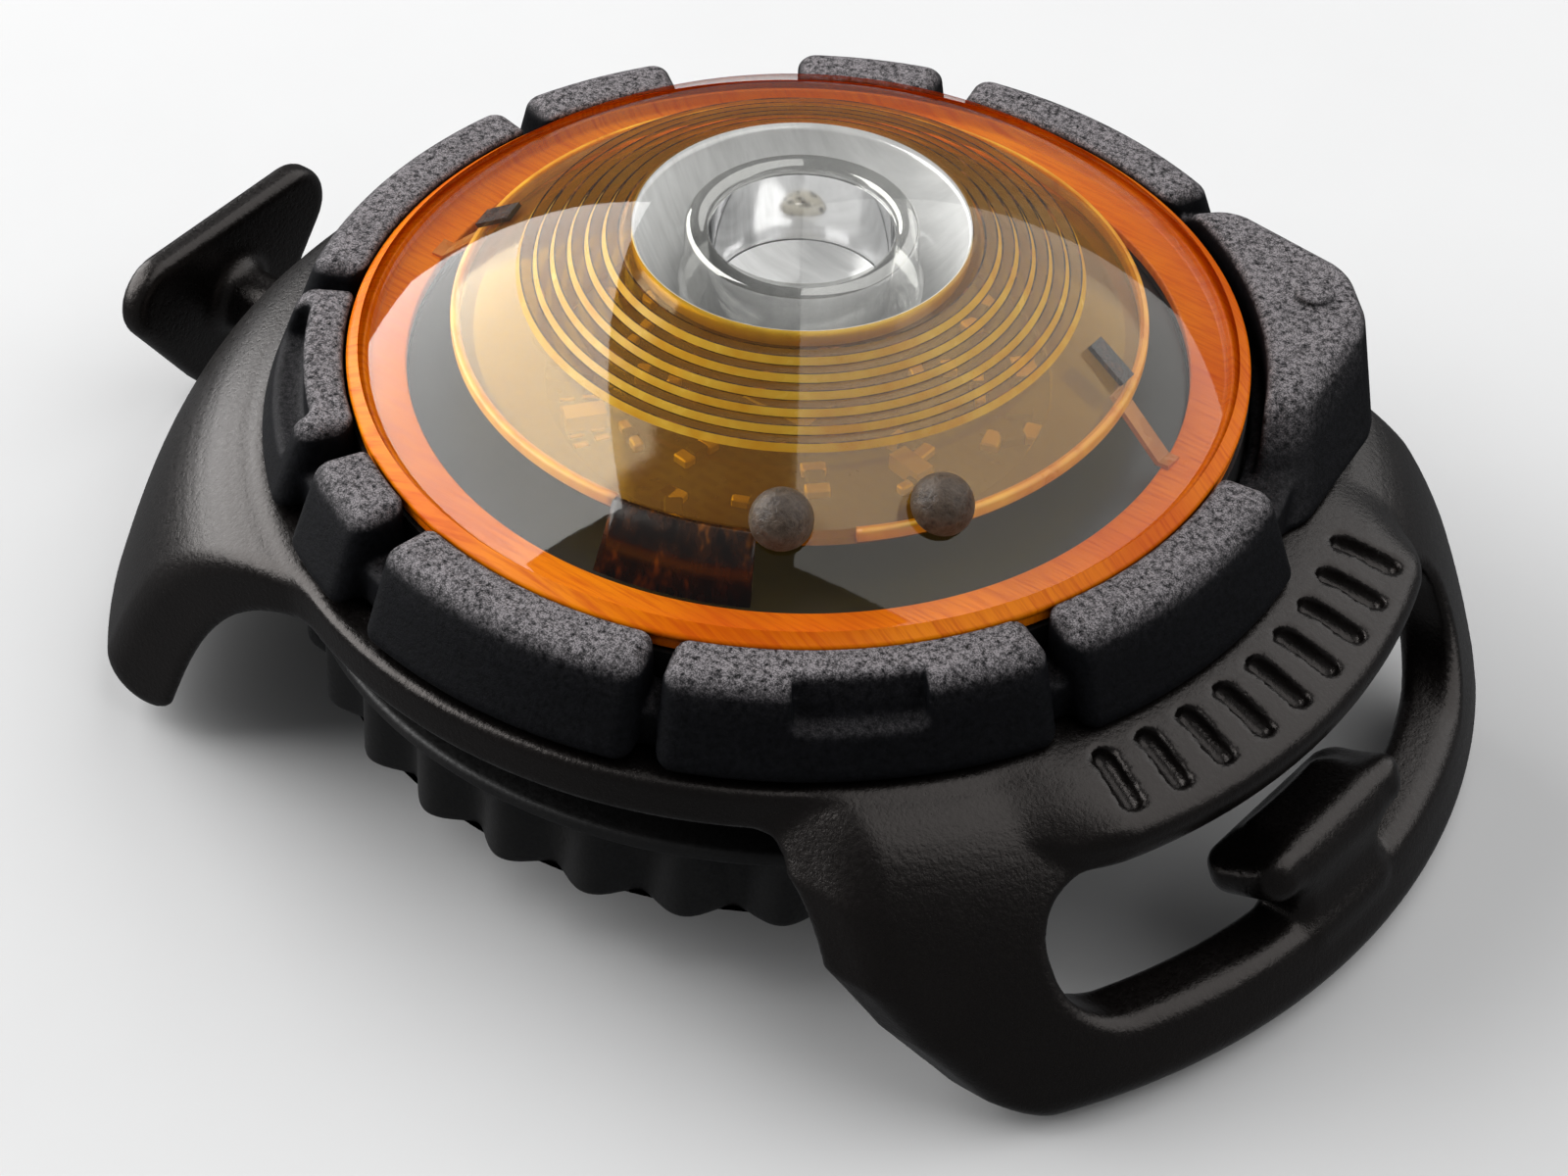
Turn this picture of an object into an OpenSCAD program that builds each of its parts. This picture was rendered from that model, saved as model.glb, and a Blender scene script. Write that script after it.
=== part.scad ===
// Clip-on amber safety light: a round twist-to-switch light held in an elastomer strap clip.
// Origin: centre of the light's underside. +Z is the light's axis, -X points to the stud,
// +X points to the loop and its hook. A strap runs along Y under the light.

/* [Light] */
// Height of the dome's top above the light's underside
dome_top = 19.5; // [18.5:0.1:20.5]
// Height of the dome's edge
dome_edge_z = 12.3; // [12.2:0.1:12.6]
// Radius of the dome's edge
dome_edge_r = 17.2; // [16.9:0.1:17.2]
// Thickness of the clear dome
dome_wall = 0.6; // [0.4:0.1:0.7]
// Radius of the central opening in the amber diffuser
window_r = 6.5; // [6.4:0.1:7]
// Number of stepped rings on the amber diffuser
ridge_count = 10; // [6:1:14]
// Height of one diffuser step
ridge_step = 0.28; // [0.1:0.02:0.34]

/* [Bumper] */
// Outer radius of the bumper's blocks
bumper_r = 20.4; // [20:0.1:20.6]
// Height of the blocks' tops
bumper_top = 12.5; // [12.3:0.1:12.8]
// Outer radius of the index lug
lug_r = 22.3; // [21:0.1:23]

/* [Base] */
// Number of grip ribs around the base
rib_count = 32; // [20:1:36]
// Outer radius of the grip ribs
rib_r = 19.4; // [19:0.1:19.6]
// Diameter of the coin cell
cell_d = 20; // [20:0.1:20.2]
// Thickness of the coin cell
cell_h = 3.2; // [2.5:0.1:3.2]

/* [Clip] */
// Outer radius of the ring that holds the light
ring_r = 20.9; // [20.5:0.1:21.2]
// Width of the clip along the strap's direction
clip_width = 38; // [34:1:40]
// Height of the loop's window
window_h = 5.7; // [4.5:0.1:6]
// Diameter of the stud's neck
stud_d = 2.6; // [2:0.1:3]
// Length of the stud's neck
stud_neck = 3.4; // [2:0.1:4]
// Width of the hook's crossbar
hook_w = 8.8; // [6:0.1:10]

/* [Hidden] */
$fn = 96;

// Small steps
gap = 0.1;
eps = 0.01;

// Colours
elastomer = "#2b2422";
rubber = "#3a3a40";
black_plastic = "#18181a";
amber = "#f08a10";
clear = "#e8f0f4";
steel = "#b9bcc0";
gold = "#d9a53a";
board_green = "#1f2a1c";

// The dome is part of a sphere through its edge and its top
cap_h = dome_top - dome_edge_z;
cap_r = (dome_edge_r * dome_edge_r + cap_h * cap_h) / (2 * cap_h);
cap_z = dome_top - cap_r;
function cap_at(r, depth) = cap_z + sqrt(pow(cap_r - depth, 2) - r * r);

// Base
neck_r = 17.6;
neck_top = 8.2;
base_bore = 16.0;
floor_h = 1.6;
undercut_r = 16.9;
undercut_top = 3.3;
grip_top = 3.9;
rib_tube = 1.1;
cover_hole = 11.05;
cover_r = 10.85;
cover_h = 1.5;
cell_z = floor_h + gap;
screw_ring = 12.6;
screw_shank = 0.5;
stop_r = [14.6, 15.7];
twist_limit = 40;
tooth_half = 6;
stop_width = 10;
wiper_z = 5.02;

// Upper housing
shell_r = 17.3;
shell_bottom = 8.5;
seat_z = 11.3;
skirt_r = [14.6, 15.7];
skirt_bottom = 2.2;
board_z = 9.0;
board_h = 1.0;
board_r = 12.9;
board_top = board_z + board_h;
board_screw_ring = 11.9;
boss_bottom = 6.4;
finger_sweep = 47.5;
seal_z = 6.3;
seal_tube = 0.45;

// Lens stack
flange_r = [14.9, 17.2];
flange_z = [11.45, 11.95];
diffuser_r = 13.1;
diffuser_depth = [0.75, 1.35];
ridge_end = 10.8;
reflector_bottom = 10.9;
reflector_throat = 1.5;
reflector_rim = 6.1;
reflector_top = 17.5;

// Gaps between the bumper's blocks, as start and end angles around the light
gaps = [
    [14, 25], [67, 71], [106, 110], [128, 144], [163, 166],
    [204, 207], [235, 239], [252, 256], [291, 293], [336, 339]
];
lug_span = [25, 67];
bumper_in = 17.4;
bumper_bottom = 8.5;
web_r = 19.5;
web_top = 11.5;
lug_root = 18.3;

// Clip: the skirt's outer face, from the ring down to the foot
plate_z = [6.4, 8.3];
ring_in = 17.9;
skirt_outer = [
    [20.5, 8.3], [21.6, 8.15], [22.6, 7.7], [23.6, 6.8], [24.4, 5.7],
    [25.3, 4.3], [25.9, 3], [26.4, 1.5], [26.8, 0], [27.05, -1.4], [27.2, -2.6]
];
skirt_inner = [
    [24.7, -2.9], [24.5, -1.6], [24.2, 0], [23.7, 1.6], [23.0, 3.1],
    [22.2, 4.4], [21.4, 5.4], [20.5, 6.4]
];
loop_r = [24.7, 27.3];
loop_z = [-4, -0.3];
loop_half = 14.4;
visor_r = 24.8;
visor_half = 29;
window_half = 12.8;
stud_x = -26.2;
stud_z = 0.3;

module ring(r_in, r_out, z_low, z_high) {
    translate([0, 0, z_low])
        difference() {
            cylinder(r = r_out, h = z_high - z_low);
            translate([0, 0, -1])
                cylinder(r = r_in, h = z_high - z_low + 2);
        }
}

module sector(r_in, r_out, z_low, z_high, from, to) {
    rotate([0, 0, from])
        rotate_extrude(angle = to - from)
            translate([r_in, z_low])
                square([r_out - r_in, z_high - z_low]);
}

module seal_ring(r_mid, tube, z) {
    translate([0, 0, z])
        rotate_extrude()
            translate([r_mid, 0])
                circle(r = tube, $fn = 24);
}

module around(count, start = 0) {
    for (i = [0 : count - 1])
        rotate([0, 0, start + i * 360 / count])
            children();
}

module screw(r_shank, length, r_head, h_head) {
    translate([0, 0, -length])
        cylinder(r = r_shank, h = length + eps, $fn = 24);
    difference() {
        cylinder(r = r_head, h = h_head, $fn = 32);
        for (a = [0, 90])
            rotate([0, 0, a])
                translate([-r_head * 0.6, -0.1, h_head - 0.25])
                    cube([r_head * 1.2, 0.2, 1]);
    }
}

// ---- Clip -------------------------------------------------------------------

// One elastomer moulding: ring, wing with stud, and loop with hook
module mount_clip() {
    color(elastomer) {
        ring(ring_in, ring_r, plate_z[0], plate_z[1]);
        clip_wing();
        clip_stud();
        clip_loop();
    }
}

module clip_skirt() {
    rotate_extrude()
        polygon(concat(skirt_outer, skirt_inner));
}

module clip_wing() {
    intersection() {
        clip_skirt();
        translate([-40, -clip_width / 2, -10])
            cube([31.6, clip_width, 30]);
    }
}

module clip_stud() {
    translate([stud_x + 0.6, 0, stud_z])
        rotate([0, -90, 0])
            cylinder(d = stud_d, h = stud_neck + 0.8, $fn = 48);
    translate([stud_x - stud_neck, 0, 0])
        rotate([90, 0, -90])
            linear_extrude(1.1)
                stud_outline();
}

// Rounded triangle, wider near its top
module stud_outline() {
    hull() {
        for (side = [-1, 1]) {
            translate([side * 4, 2.5])
                circle(r = 2, $fn = 32);
            translate([side * 1, -2.6])
                circle(r = 1.3, $fn = 32);
        }
    }
}

module clip_loop() {
    intersection() {
        difference() {
            union() {
                clip_skirt();
                rotate_extrude()
                    polygon([[24.5, -2.6], [27.2, -2.6], [27.3, -3.2], [27.0, -4], [24.9, -4], [24.6, -3.6]]);
            }
            loop_window();
        }
        loop_side_outline();
    }
    clip_visor();
    clip_hook();
}

// The loop narrows towards its foot, as seen along X
module loop_side_outline() {
    translate([12.6, 0, 0])
        rotate([90, 0, 90])
            linear_extrude(20)
                polygon([
                    [-16.4, 9], [-17.9, 5.5], [-18.2, 2.5], [-17.2, 0.2], [-15.6, -2.4], [-loop_half, -4.5],
                    [loop_half, -4.5], [15.6, -2.4], [17.2, 0.2], [18.2, 2.5], [17.9, 5.5], [16.4, 9]
                ]);
}

module loop_window() {
    corner = 2.2;
    translate([14, 0, loop_z[1]])
        rotate([90, 0, 90])
            linear_extrude(20) {
                translate([-window_half + corner, 0])
                    square([2 * (window_half - corner), window_h]);
                translate([-window_half, corner])
                    square([2 * window_half, window_h - 2 * corner]);
                for (side = [-1, 1])
                    for (y = [corner, window_h - corner])
                        translate([side * (window_half - corner), y])
                            circle(r = corner, $fn = 48);
            }
}

// Crescent shelf over the loop's window
module clip_visor() {
    rotate([0, 0, -visor_half])
        rotate_extrude(angle = 2 * visor_half)
            polygon([[20.5, 6.4], [20.5, 8.3], [21.6, 8.15], [visor_r - 0.3, 7.35], [visor_r, 7], [visor_r - 0.1, 5.6]]);
}

// T-shaped hook that stands on the loop's bar
module clip_hook() {
    translate([24.9, -3, loop_z[1] - 1])
        cube([1.5, 6, 3.4]);
    translate([22.6, hook_w / 2, 0])
        rotate([90, 0, 0])
            linear_extrude(hook_w)
                polygon([[0, 0.9], [0, 2.1], [0.3, 2.5], [1.6, 2.6], [2.9, 3.4], [3.6, 3.3], [3.8, 2.6], [3.9, 0.9], [2.9, 0.5]]);
}

// ---- Base, with the cell ----------------------------------------------------

// Ribbed cup that the clip's ring grips by its neck
module base_housing() {
    color(black_plastic)
        difference() {
            union() {
                cylinder(r = neck_r, h = neck_top);
                cylinder(r = rib_r - 0.9, h = grip_top);
                translate([0, 0, grip_top - 0.8])
                    cylinder(r = rib_r, h = 0.8);
                around(rib_count, 3)
                    translate([rib_r - 0.1 - rib_tube, 0, 0])
                        cylinder(r = rib_tube, h = grip_top - 0.4, $fn = 32);
            }
            translate([0, 0, -1])
                cylinder(r = cover_hole, h = 4);
            translate([0, 0, floor_h])
                cylinder(r = undercut_r, h = undercut_top - floor_h);
            translate([0, 0, floor_h])
                cylinder(r = base_bore, h = 10);
            around(3)
                translate([screw_ring, 0, floor_h - 1.1])
                    cylinder(r = screw_shank + 0.02, h = 3, $fn = 24);
        }
    color(black_plastic)
        twist_stops();
}

// Two blocks that stop the upper housing's tooth at each end of the twist
module twist_stops() {
    for (side = [-1, 1]) {
        near = side * (twist_limit + tooth_half + 0.5);
        far = near + side * stop_width;
        sector(stop_r[0], stop_r[1], floor_h - eps, floor_h + 0.5, min(near, far), max(near, far));
    }
}

// Screw-in cover with an interrupted coin slot
module cell_cover() {
    color(black_plastic)
        difference() {
            cylinder(r = cover_r, h = cover_h);
            rotate_extrude()
                translate([cover_r + 0.05, 0.8])
                    circle(r = 0.5, $fn = 24);
            for (side = [0, 180])
                rotate([0, 0, side])
                    translate([2.4, -0.8, -1])
                        cube([5.6, 1.6, 1.7]);
        }
}

module cell_cover_seal() {
    color(rubber)
        seal_ring(cover_r - 0.13, 0.3, 0.8);
}

module coin_cell() {
    color(steel)
        translate([0, 0, cell_z]) {
            cylinder(d = cell_d - 0.6, h = 0.3 + eps);
            translate([0, 0, 0.3])
                cylinder(d = cell_d, h = cell_h - 0.8);
            translate([0, 0, cell_h - 0.5 - eps])
                cylinder(d = cell_d - 2.2, h = 0.5);
        }
}

// Ring that centres the cell, screwed to the base's floor
module cell_tray() {
    color("#2d2f33")
        difference() {
            ring(cell_d / 2 + 0.25, 14.2, floor_h + 0.02, 5.0);
            around(3)
                translate([screw_ring, 0, 0])
                    cylinder(r = screw_shank + 0.1, h = 8, $fn = 24);
        }
}

module tray_screws() {
    color(steel)
        around(3)
            translate([screw_ring, 0, 5.27])
                screw(screw_shank, 4.6, 1.0, 0.5);
}

// Sprung plate: its tongue touches the cell's side, its fingers touch the board's track
module positive_wiper() {
    color(gold) {
        difference() {
            ring(10.9, 13.9, wiper_z, wiper_z + 0.2);
            around(3)
                translate([screw_ring, 0, 0])
                    cylinder(r = screw_shank + 0.1, h = 8, $fn = 24);
        }
        sector(cell_d / 2 + 0.03, cell_d / 2 + 0.18, cell_z + 0.6, wiper_z + 0.15, -10, 10);
        sector(cell_d / 2 + 0.1, 11.3, wiper_z + 0.05, wiper_z + 0.15, -9, 9);
        around(3, -4)
            wiper_finger();
    }
}

// Thin strip that rises from the plate to a dimple under the board
module wiper_finger() {
    rise = board_z - 0.55 - wiper_z;
    reach = 6;
    translate([11.1, -3, wiper_z + 0.06])
        rotate([asin(rise / reach), 0, 0])
            cube([0.8, reach, 0.16]);
    translate([11.5, reach * cos(asin(rise / reach)) - 3.3, wiper_z + rise - 0.2])
        cylinder(r = 0.35, h = 0.6, $fn = 24);
}

// ---- Upper body -------------------------------------------------------------

module upper_housing() {
    color(black_plastic) {
        difference() {
            union() {
                ring(15.0, shell_r, shell_bottom, seat_z);
                ring(13.1, 13.9, board_z - 0.6, seat_z - 0.3);
                ring(10.8, 15.4, board_z - 1.0, board_z - 0.02);
                ring(skirt_r[0], skirt_r[1], skirt_bottom, board_z - 0.5);
                around(3, 60)
                    translate([board_screw_ring, 0, boss_bottom])
                        cylinder(r = 1.1, h = board_z - 0.8 - boss_bottom, $fn = 32);
                around(24)
                    translate([13.8, -0.25, board_z - 0.5])
                        cube([1.3, 0.5, 1.7]);
            }
            seal_ring(skirt_r[1] - 0.25, seal_tube + 0.1, seal_z);
            ring(skirt_r[1] - 0.55, skirt_r[1] + 1, 2.45, 3.15);
            seal_ring(16.0, 0.5, 11.05);
            around(3, 60)
                translate([board_screw_ring, 0, boss_bottom + 0.3])
                    cylinder(r = screw_shank + 0.02, h = 4, $fn = 24);
            around(3)
                sector(10.7, 12.2, board_z - 1.1, board_z + gap, -finger_sweep, finger_sweep);
        }
        sector(skirt_r[0], skirt_r[1], floor_h + 0.2, skirt_bottom + eps, -tooth_half, tooth_half);
    }
}

module twist_seal() {
    color("#7a2f22")
        seal_ring(skirt_r[1] - 0.27, seal_tube, seal_z);
}

// Split snap ring that keeps the upper body in the base
module retaining_ring() {
    color(steel)
        sector(skirt_r[1] - 0.5, undercut_r - 0.2, 2.5, 3.1, 8, 352);
}

// Rubber ring of uneven blocks on a lower web, with one long index lug
module bumper_ring() {
    color(rubber) {
        difference() {
            rotate_extrude()
                bumper_profile(bumper_r, bumper_bottom, bumper_top);
            for (g = gaps)
                rotate([0, 0, g[0]])
                    rotate_extrude(angle = g[1] - g[0])
                        polygon([
                            [web_r, bumper_bottom - 1], [bumper_r + 1, bumper_bottom - 1],
                            [bumper_r + 1, bumper_top + 1], [bumper_in - 1, bumper_top + 1],
                            [bumper_in - 1, web_top], [web_r, web_top]
                        ]);
        }
        rotate([0, 0, lug_span[0]])
            rotate_extrude(angle = lug_span[1] - lug_span[0])
                translate([lug_root, 0])
                    bumper_profile(lug_r - lug_root, bumper_bottom + gap, bumper_top - gap, 0);
    }
}

module bumper_profile(r_out, z_low, z_high, r_in = bumper_in) {
    bevel = 0.7;
    polygon([
        [r_in, z_low], [r_out - 0.3, z_low], [r_out, z_low + 0.8],
        [r_out - 0.25, z_high - bevel], [r_out - 1, z_high], [r_in, z_high]
    ]);
}

module circuit_board() {
    color(board_green)
        difference() {
            translate([0, 0, board_z])
                cylinder(r = board_r, h = board_h);
            around(3, 60)
                translate([board_screw_ring, 0, board_z - 1])
                    cylinder(r = screw_shank + 0.1, h = 4, $fn = 24);
        }
}

module board_screws() {
    color(steel)
        around(3, 60)
            translate([board_screw_ring, 0, board_top + 0.02])
                screw(screw_shank, 3.2, 0.95, 0.45);
}

// Conical coil between the cell's cap and the board
spring_turns = 4;
spring_steps = 18;
spring_wire = 0.22;
spring_low = cell_z + cell_h + spring_wire + 0.03;
spring_high = board_z - spring_wire - 0.03;
function spring_point(t) =
    let (r = 3.4 - 1.4 * t, a = 360 * spring_turns * t)
    [r * cos(a), r * sin(a), spring_low + (spring_high - spring_low) * t];

module negative_spring() {
    sides = 6;
    count = spring_turns * spring_steps;
    points = [
        for (i = [0 : count])
            let (t = i / count, p = spring_point(t), a = 360 * spring_turns * t)
            for (k = [0 : sides - 1])
                let (b = 360 * k / sides)
                p + spring_wire * [cos(b) * cos(a), cos(b) * sin(a), sin(b)]
    ];
    walls = [
        for (i = [0 : count - 1])
            for (k = [0 : sides - 1])
                let (n = (k + 1) % sides)
                [i * sides + k, i * sides + n, (i + 1) * sides + n, (i + 1) * sides + k]
    ];
    ends = [
        [for (k = [0 : sides - 1]) sides - 1 - k],
        [for (k = [0 : sides - 1]) count * sides + k]
    ];
    color(steel)
        polyhedron(points = points, faces = concat(ends, walls));
}

// Places a part on the board at a radius and an angle
module on_board(r, angle) {
    rotate([0, 0, angle])
        translate([r, 0, board_top + 0.02])
            children();
}

module block(size) {
    translate([-size[0] / 2, -size[1] / 2, 0])
        cube(size);
}

module controller_chip() {
    color("#202024")
        on_board(9.4, 318) {
            translate([0, 0, 0.1])
                block([3, 3, 0.7]);
            for (a = [0, 90, 180, 270])
                rotate([0, 0, a])
                    for (i = [-1 : 1])
                        translate([1.45, i * 0.8, 0])
                            block([0.5, 0.35, 0.25]);
        }
}

module power_inductor() {
    color("#4a4a4e")
        on_board(9.2, 205) {
            block([3, 3, 0.5]);
            cylinder(r = 1.3, h = 1.2, $fn = 48);
        }
}

capacitor_spots = [[10.6, 250], [8.4, 232], [10.8, 285], [6.4, 350], [10.4, 15], [7.2, 160]];
module chip_capacitors() {
    color("#c8a878")
        for (spot = capacitor_spots)
            on_board(spot[0], spot[1])
                block([1.6, 0.8, 0.7]);
}

resistor_spots = [[11.2, 262], [11.2, 268], [8.2, 270], [11.4, 334], [7.6, 300], [10.6, 355], [8.6, 30], [9.6, 140]];
module chip_resistors() {
    color("#26262a")
        for (spot = resistor_spots)
            on_board(spot[0], spot[1])
                block([1.0, 0.5, 0.35]);
}

pad_spots = [[12.0, 276], [12.0, 290], [11.6, 325], [12.0, 345], [11.8, 5], [9.0, 50], [11.0, 100], [10.5, 190]];
module edge_pads() {
    color(gold)
        for (spot = pad_spots)
            on_board(spot[0], spot[1])
                block([0.9, 1.2, 0.06]);
}

module led_emitter() {
    color("#f4efe0")
        translate([0, 0, board_top + 0.02])
            difference() {
                union() {
                    block([3, 3, 0.6]);
                    translate([0, 0, 0.6])
                        sphere(r = 1.1, $fn = 48);
                }
                translate([0, 0, -2])
                    cylinder(r = 3, h = 2);
            }
}

// ---- Optics -----------------------------------------------------------------

bowl_k = (reflector_top - reflector_bottom) / (pow(reflector_rim, 2) - pow(reflector_throat, 2));
function bowl_z(r) = reflector_bottom + bowl_k * (r * r - pow(reflector_throat, 2));
bowl_steps = 10;

module reflector_cup() {
    radii = [for (i = [0 : bowl_steps]) reflector_throat + (reflector_rim - reflector_throat) * i / bowl_steps];
    inner = [for (r = radii) [r, bowl_z(r)]];
    outer = [for (i = [bowl_steps : -1 : 0]) [radii[i] + 0.3, bowl_z(radii[i]) - 0.25]];
    color("#e6e6ea")
        rotate_extrude()
            polygon(concat(inner, outer));
}

// Thick-walled clear ring on a solid foot that rests in the reflector
module collimator_lens() {
    foot_z = 14.9;
    color(clear)
        difference() {
            union() {
                translate([0, 0, foot_z])
                    cylinder(r = 4.3, h = 0.6);
                translate([0, 0, foot_z])
                    cylinder(r = 4.05, h = 3.4);
                translate([0, 0, foot_z - 2.2])
                    cylinder(r1 = 2.4, r2 = 4.05, h = 2.2 + eps);
            }
            translate([0, 0, foot_z + 1.2])
                cylinder(r = 3.2, h = 4);
            translate([0, 0, foot_z - 2.2 - eps])
                cylinder(r1 = 1.5, r2 = 1.1, h = 1.2);
        }
}

// Amber cone of stepped rings, with three arms down to its flange
module amber_diffuser() {
    pitch = (ridge_end - window_r) / ridge_count;
    top = [
        for (i = [0 : ridge_count - 1])
            let (r = window_r + i * pitch)
            each [[r, cap_at(r, diffuser_depth[0])], [r + 0.55 * pitch, cap_at(r, diffuser_depth[0]) - ridge_step]]
    ];
    smooth = [
        for (i = [0 : 4])
            let (r = ridge_end + (diffuser_r - ridge_end) * i / 4)
            [r, cap_at(r, diffuser_depth[0])]
    ];
    under = [
        for (i = [0 : 8])
            let (r = diffuser_r + (window_r - diffuser_r) * i / 8)
            [r, cap_at(r, diffuser_depth[1])]
    ];
    arm_top = cap_at(diffuser_r, diffuser_depth[0]);
    color(amber) {
        rotate_extrude()
            polygon(concat(top, smooth, under));
        ring(flange_r[0], flange_r[1], flange_z[0], flange_z[1]);
        for (angle = [20, 140, 260])
            rotate([0, 0, angle - 3])
                rotate_extrude(angle = 6)
                    polygon([
                        [diffuser_r - 0.3, arm_top - 0.1], [diffuser_r + 0.2, arm_top - 0.2],
                        [flange_r[0] + 0.2, flange_z[1]], [flange_r[0] + 0.2, flange_z[0]],
                        [flange_r[0] - 0.2, flange_z[0]], [diffuser_r - 0.3, arm_top - 0.8]
                    ]);
    }
}

module lens_seal() {
    color(rubber)
        seal_ring(16.0, 0.4, 11.02);
}

module dome_lens() {
    color(clear) {
        difference() {
            intersection() {
                translate([0, 0, cap_z])
                    sphere(r = cap_r, $fn = 192);
                translate([0, 0, dome_edge_z])
                    cylinder(r = dome_edge_r + 1, h = 20);
            }
            translate([0, 0, cap_z])
                sphere(r = cap_r - dome_wall, $fn = 192);
        }
        ring(15.6, shell_r, flange_z[1] + 0.05, dome_edge_z + eps);
    }
}

// Two raised dots on the dome that a thumb can find in the dark
module locator_pips() {
    color("#cfc6b8")
        difference() {
            for (angle = [305, 330])
                rotate([0, 0, angle])
                    translate([13.7, 0, cap_at(13.7, 0)])
                        sphere(r = 1.2, $fn = 48);
            translate([0, 0, cap_z])
                sphere(r = cap_r + 0.01, $fn = 192);
        }
}

mount_clip();
base_housing();
cell_cover();
cell_cover_seal();
coin_cell();
cell_tray();
tray_screws();
positive_wiper();
upper_housing();
twist_seal();
retaining_ring();
bumper_ring();
circuit_board();
board_screws();
negative_spring();
controller_chip();
power_inductor();
chip_capacitors();
chip_resistors();
edge_pads();
led_emitter();
reflector_cup();
collimator_lens();
amber_diffuser();
lens_seal();
dome_lens();
locator_pips();
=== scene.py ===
"""Looks for the clip-on amber safety light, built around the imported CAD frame.

Shapes are worked out in millimetres in the CAD's own frame and scaled to metres when a mesh is made.
The clip with its hook and the bumper are moulded forms: each is a distance field turned into a mesh.
Round pieces are lathes or sweeps, the diffuser's arms are strips, and the board's small parts are boxes.
"""
import math

import bpy
import numpy as np
from mathutils import Matrix, Vector


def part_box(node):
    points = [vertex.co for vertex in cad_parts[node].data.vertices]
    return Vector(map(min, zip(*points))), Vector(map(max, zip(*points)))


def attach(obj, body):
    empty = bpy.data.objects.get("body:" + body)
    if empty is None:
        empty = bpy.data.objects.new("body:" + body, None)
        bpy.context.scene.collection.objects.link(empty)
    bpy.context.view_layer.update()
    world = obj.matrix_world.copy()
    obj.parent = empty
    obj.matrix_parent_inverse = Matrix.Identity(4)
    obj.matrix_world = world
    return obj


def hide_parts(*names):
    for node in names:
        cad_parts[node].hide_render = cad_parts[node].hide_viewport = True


MM = 0.001
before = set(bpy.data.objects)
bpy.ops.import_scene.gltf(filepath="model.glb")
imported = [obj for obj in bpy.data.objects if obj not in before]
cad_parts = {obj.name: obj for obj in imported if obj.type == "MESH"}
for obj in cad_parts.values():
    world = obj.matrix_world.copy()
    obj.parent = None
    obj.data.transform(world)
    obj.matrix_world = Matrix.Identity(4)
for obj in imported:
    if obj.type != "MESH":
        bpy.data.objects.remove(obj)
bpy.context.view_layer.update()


# ---- Sizes read from the frame, in millimetres --------------------------------

def node_box(node):
    low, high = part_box(node)
    return np.array(low) / MM, np.array(high) / MM


RING_IN = 17.9
RING_R = 20.9
PLATE_LOW, PLATE_HIGH = 6.4, 8.3
BUMPER_LOW = node_box("bumper_ring")[0][2]
BUMPER_HIGH = node_box("bumper_ring")[1][2]
DOME_TOP = node_box("dome_lens")[1][2]
DOME_EDGE_R = 17.2
DOME_EDGE_Z = 12.3
BOARD_TOP = node_box("circuit_board")[1][2]
BASE_TOP = node_box("base_housing")[1][2]
FLOOR_Z = node_box("mount_clip")[0][2]

CAP_H = DOME_TOP - DOME_EDGE_Z
CAP_R = (DOME_EDGE_R ** 2 + CAP_H ** 2) / (2 * CAP_H)
CAP_Z = DOME_TOP - CAP_R


def cap_at(r, depth=0.0):
    """Height of the dome's sphere, moved inwards by depth, at radius r."""
    return CAP_Z + math.sqrt((CAP_R - depth) ** 2 - r * r)


# ---- Mesh helpers --------------------------------------------------------------

def make_piece(name, verts, faces, material, body, slot, replaces=(), smooth=True):
    """A mesh object from vertices in millimetres, riding on a CAD body."""
    mesh = bpy.data.meshes.new(name)
    mesh.from_pydata((np.asarray(verts, float) * MM).tolist(), [], [list(map(int, f)) for f in faces])
    mesh.validate()
    mesh.update()
    if smooth:
        mesh.polygons.foreach_set("use_smooth", [True] * len(mesh.polygons))
    mesh.materials.append(material)
    piece = bpy.data.objects.new(name, mesh)
    bpy.context.scene.collection.objects.link(piece)
    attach(piece, body)
    if replaces:
        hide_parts(*replaces)
    return piece


def sharpen(piece, angle):
    """Keeps edges sharper than this many degrees crisp in an otherwise smooth mesh."""
    piece.data.set_sharp_from_angle(angle=math.radians(angle))


def fillet(points, radius, steps=5):
    """The closed outline with rounded corners, each starting radius away, or nearer on a short side."""
    side_share = 0.45
    points = [Vector(p) for p in points]
    out = []
    for i, p in enumerate(points):
        before, after = points[i - 1], points[(i + 1) % len(points)]
        reach = min(radius, (before - p).length * side_share, (after - p).length * side_share)
        start = p + (before - p).normalized() * reach
        end = p + (after - p).normalized() * reach
        for k in range(steps + 1):
            t = k / steps
            out.append(tuple((1 - t) ** 2 * start + 2 * t * (1 - t) * p + t * t * end))
    return out


def lathe(profile, segments, wobble=None):
    """A closed profile of (radius, height) turned about Z. wobble(r, z, angle) gives a new radius."""
    count = len(profile)
    verts = []
    for i in range(segments):
        a = 2 * math.pi * i / segments
        for r, z in profile:
            rr = wobble(r, z, a) if wobble else r
            verts.append((rr * math.cos(a), rr * math.sin(a), z))
    faces = []
    for i in range(segments):
        j = (i + 1) % segments
        for k in range(count):
            n = (k + 1) % count
            faces.append((i * count + k, j * count + k, j * count + n, i * count + n))
    return verts, faces


def arc(r_from, r_to, depth, steps):
    """Points along the dome's sphere moved inwards by depth."""
    return [(r, cap_at(r, depth)) for r in np.linspace(r_from, r_to, steps)]


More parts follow.
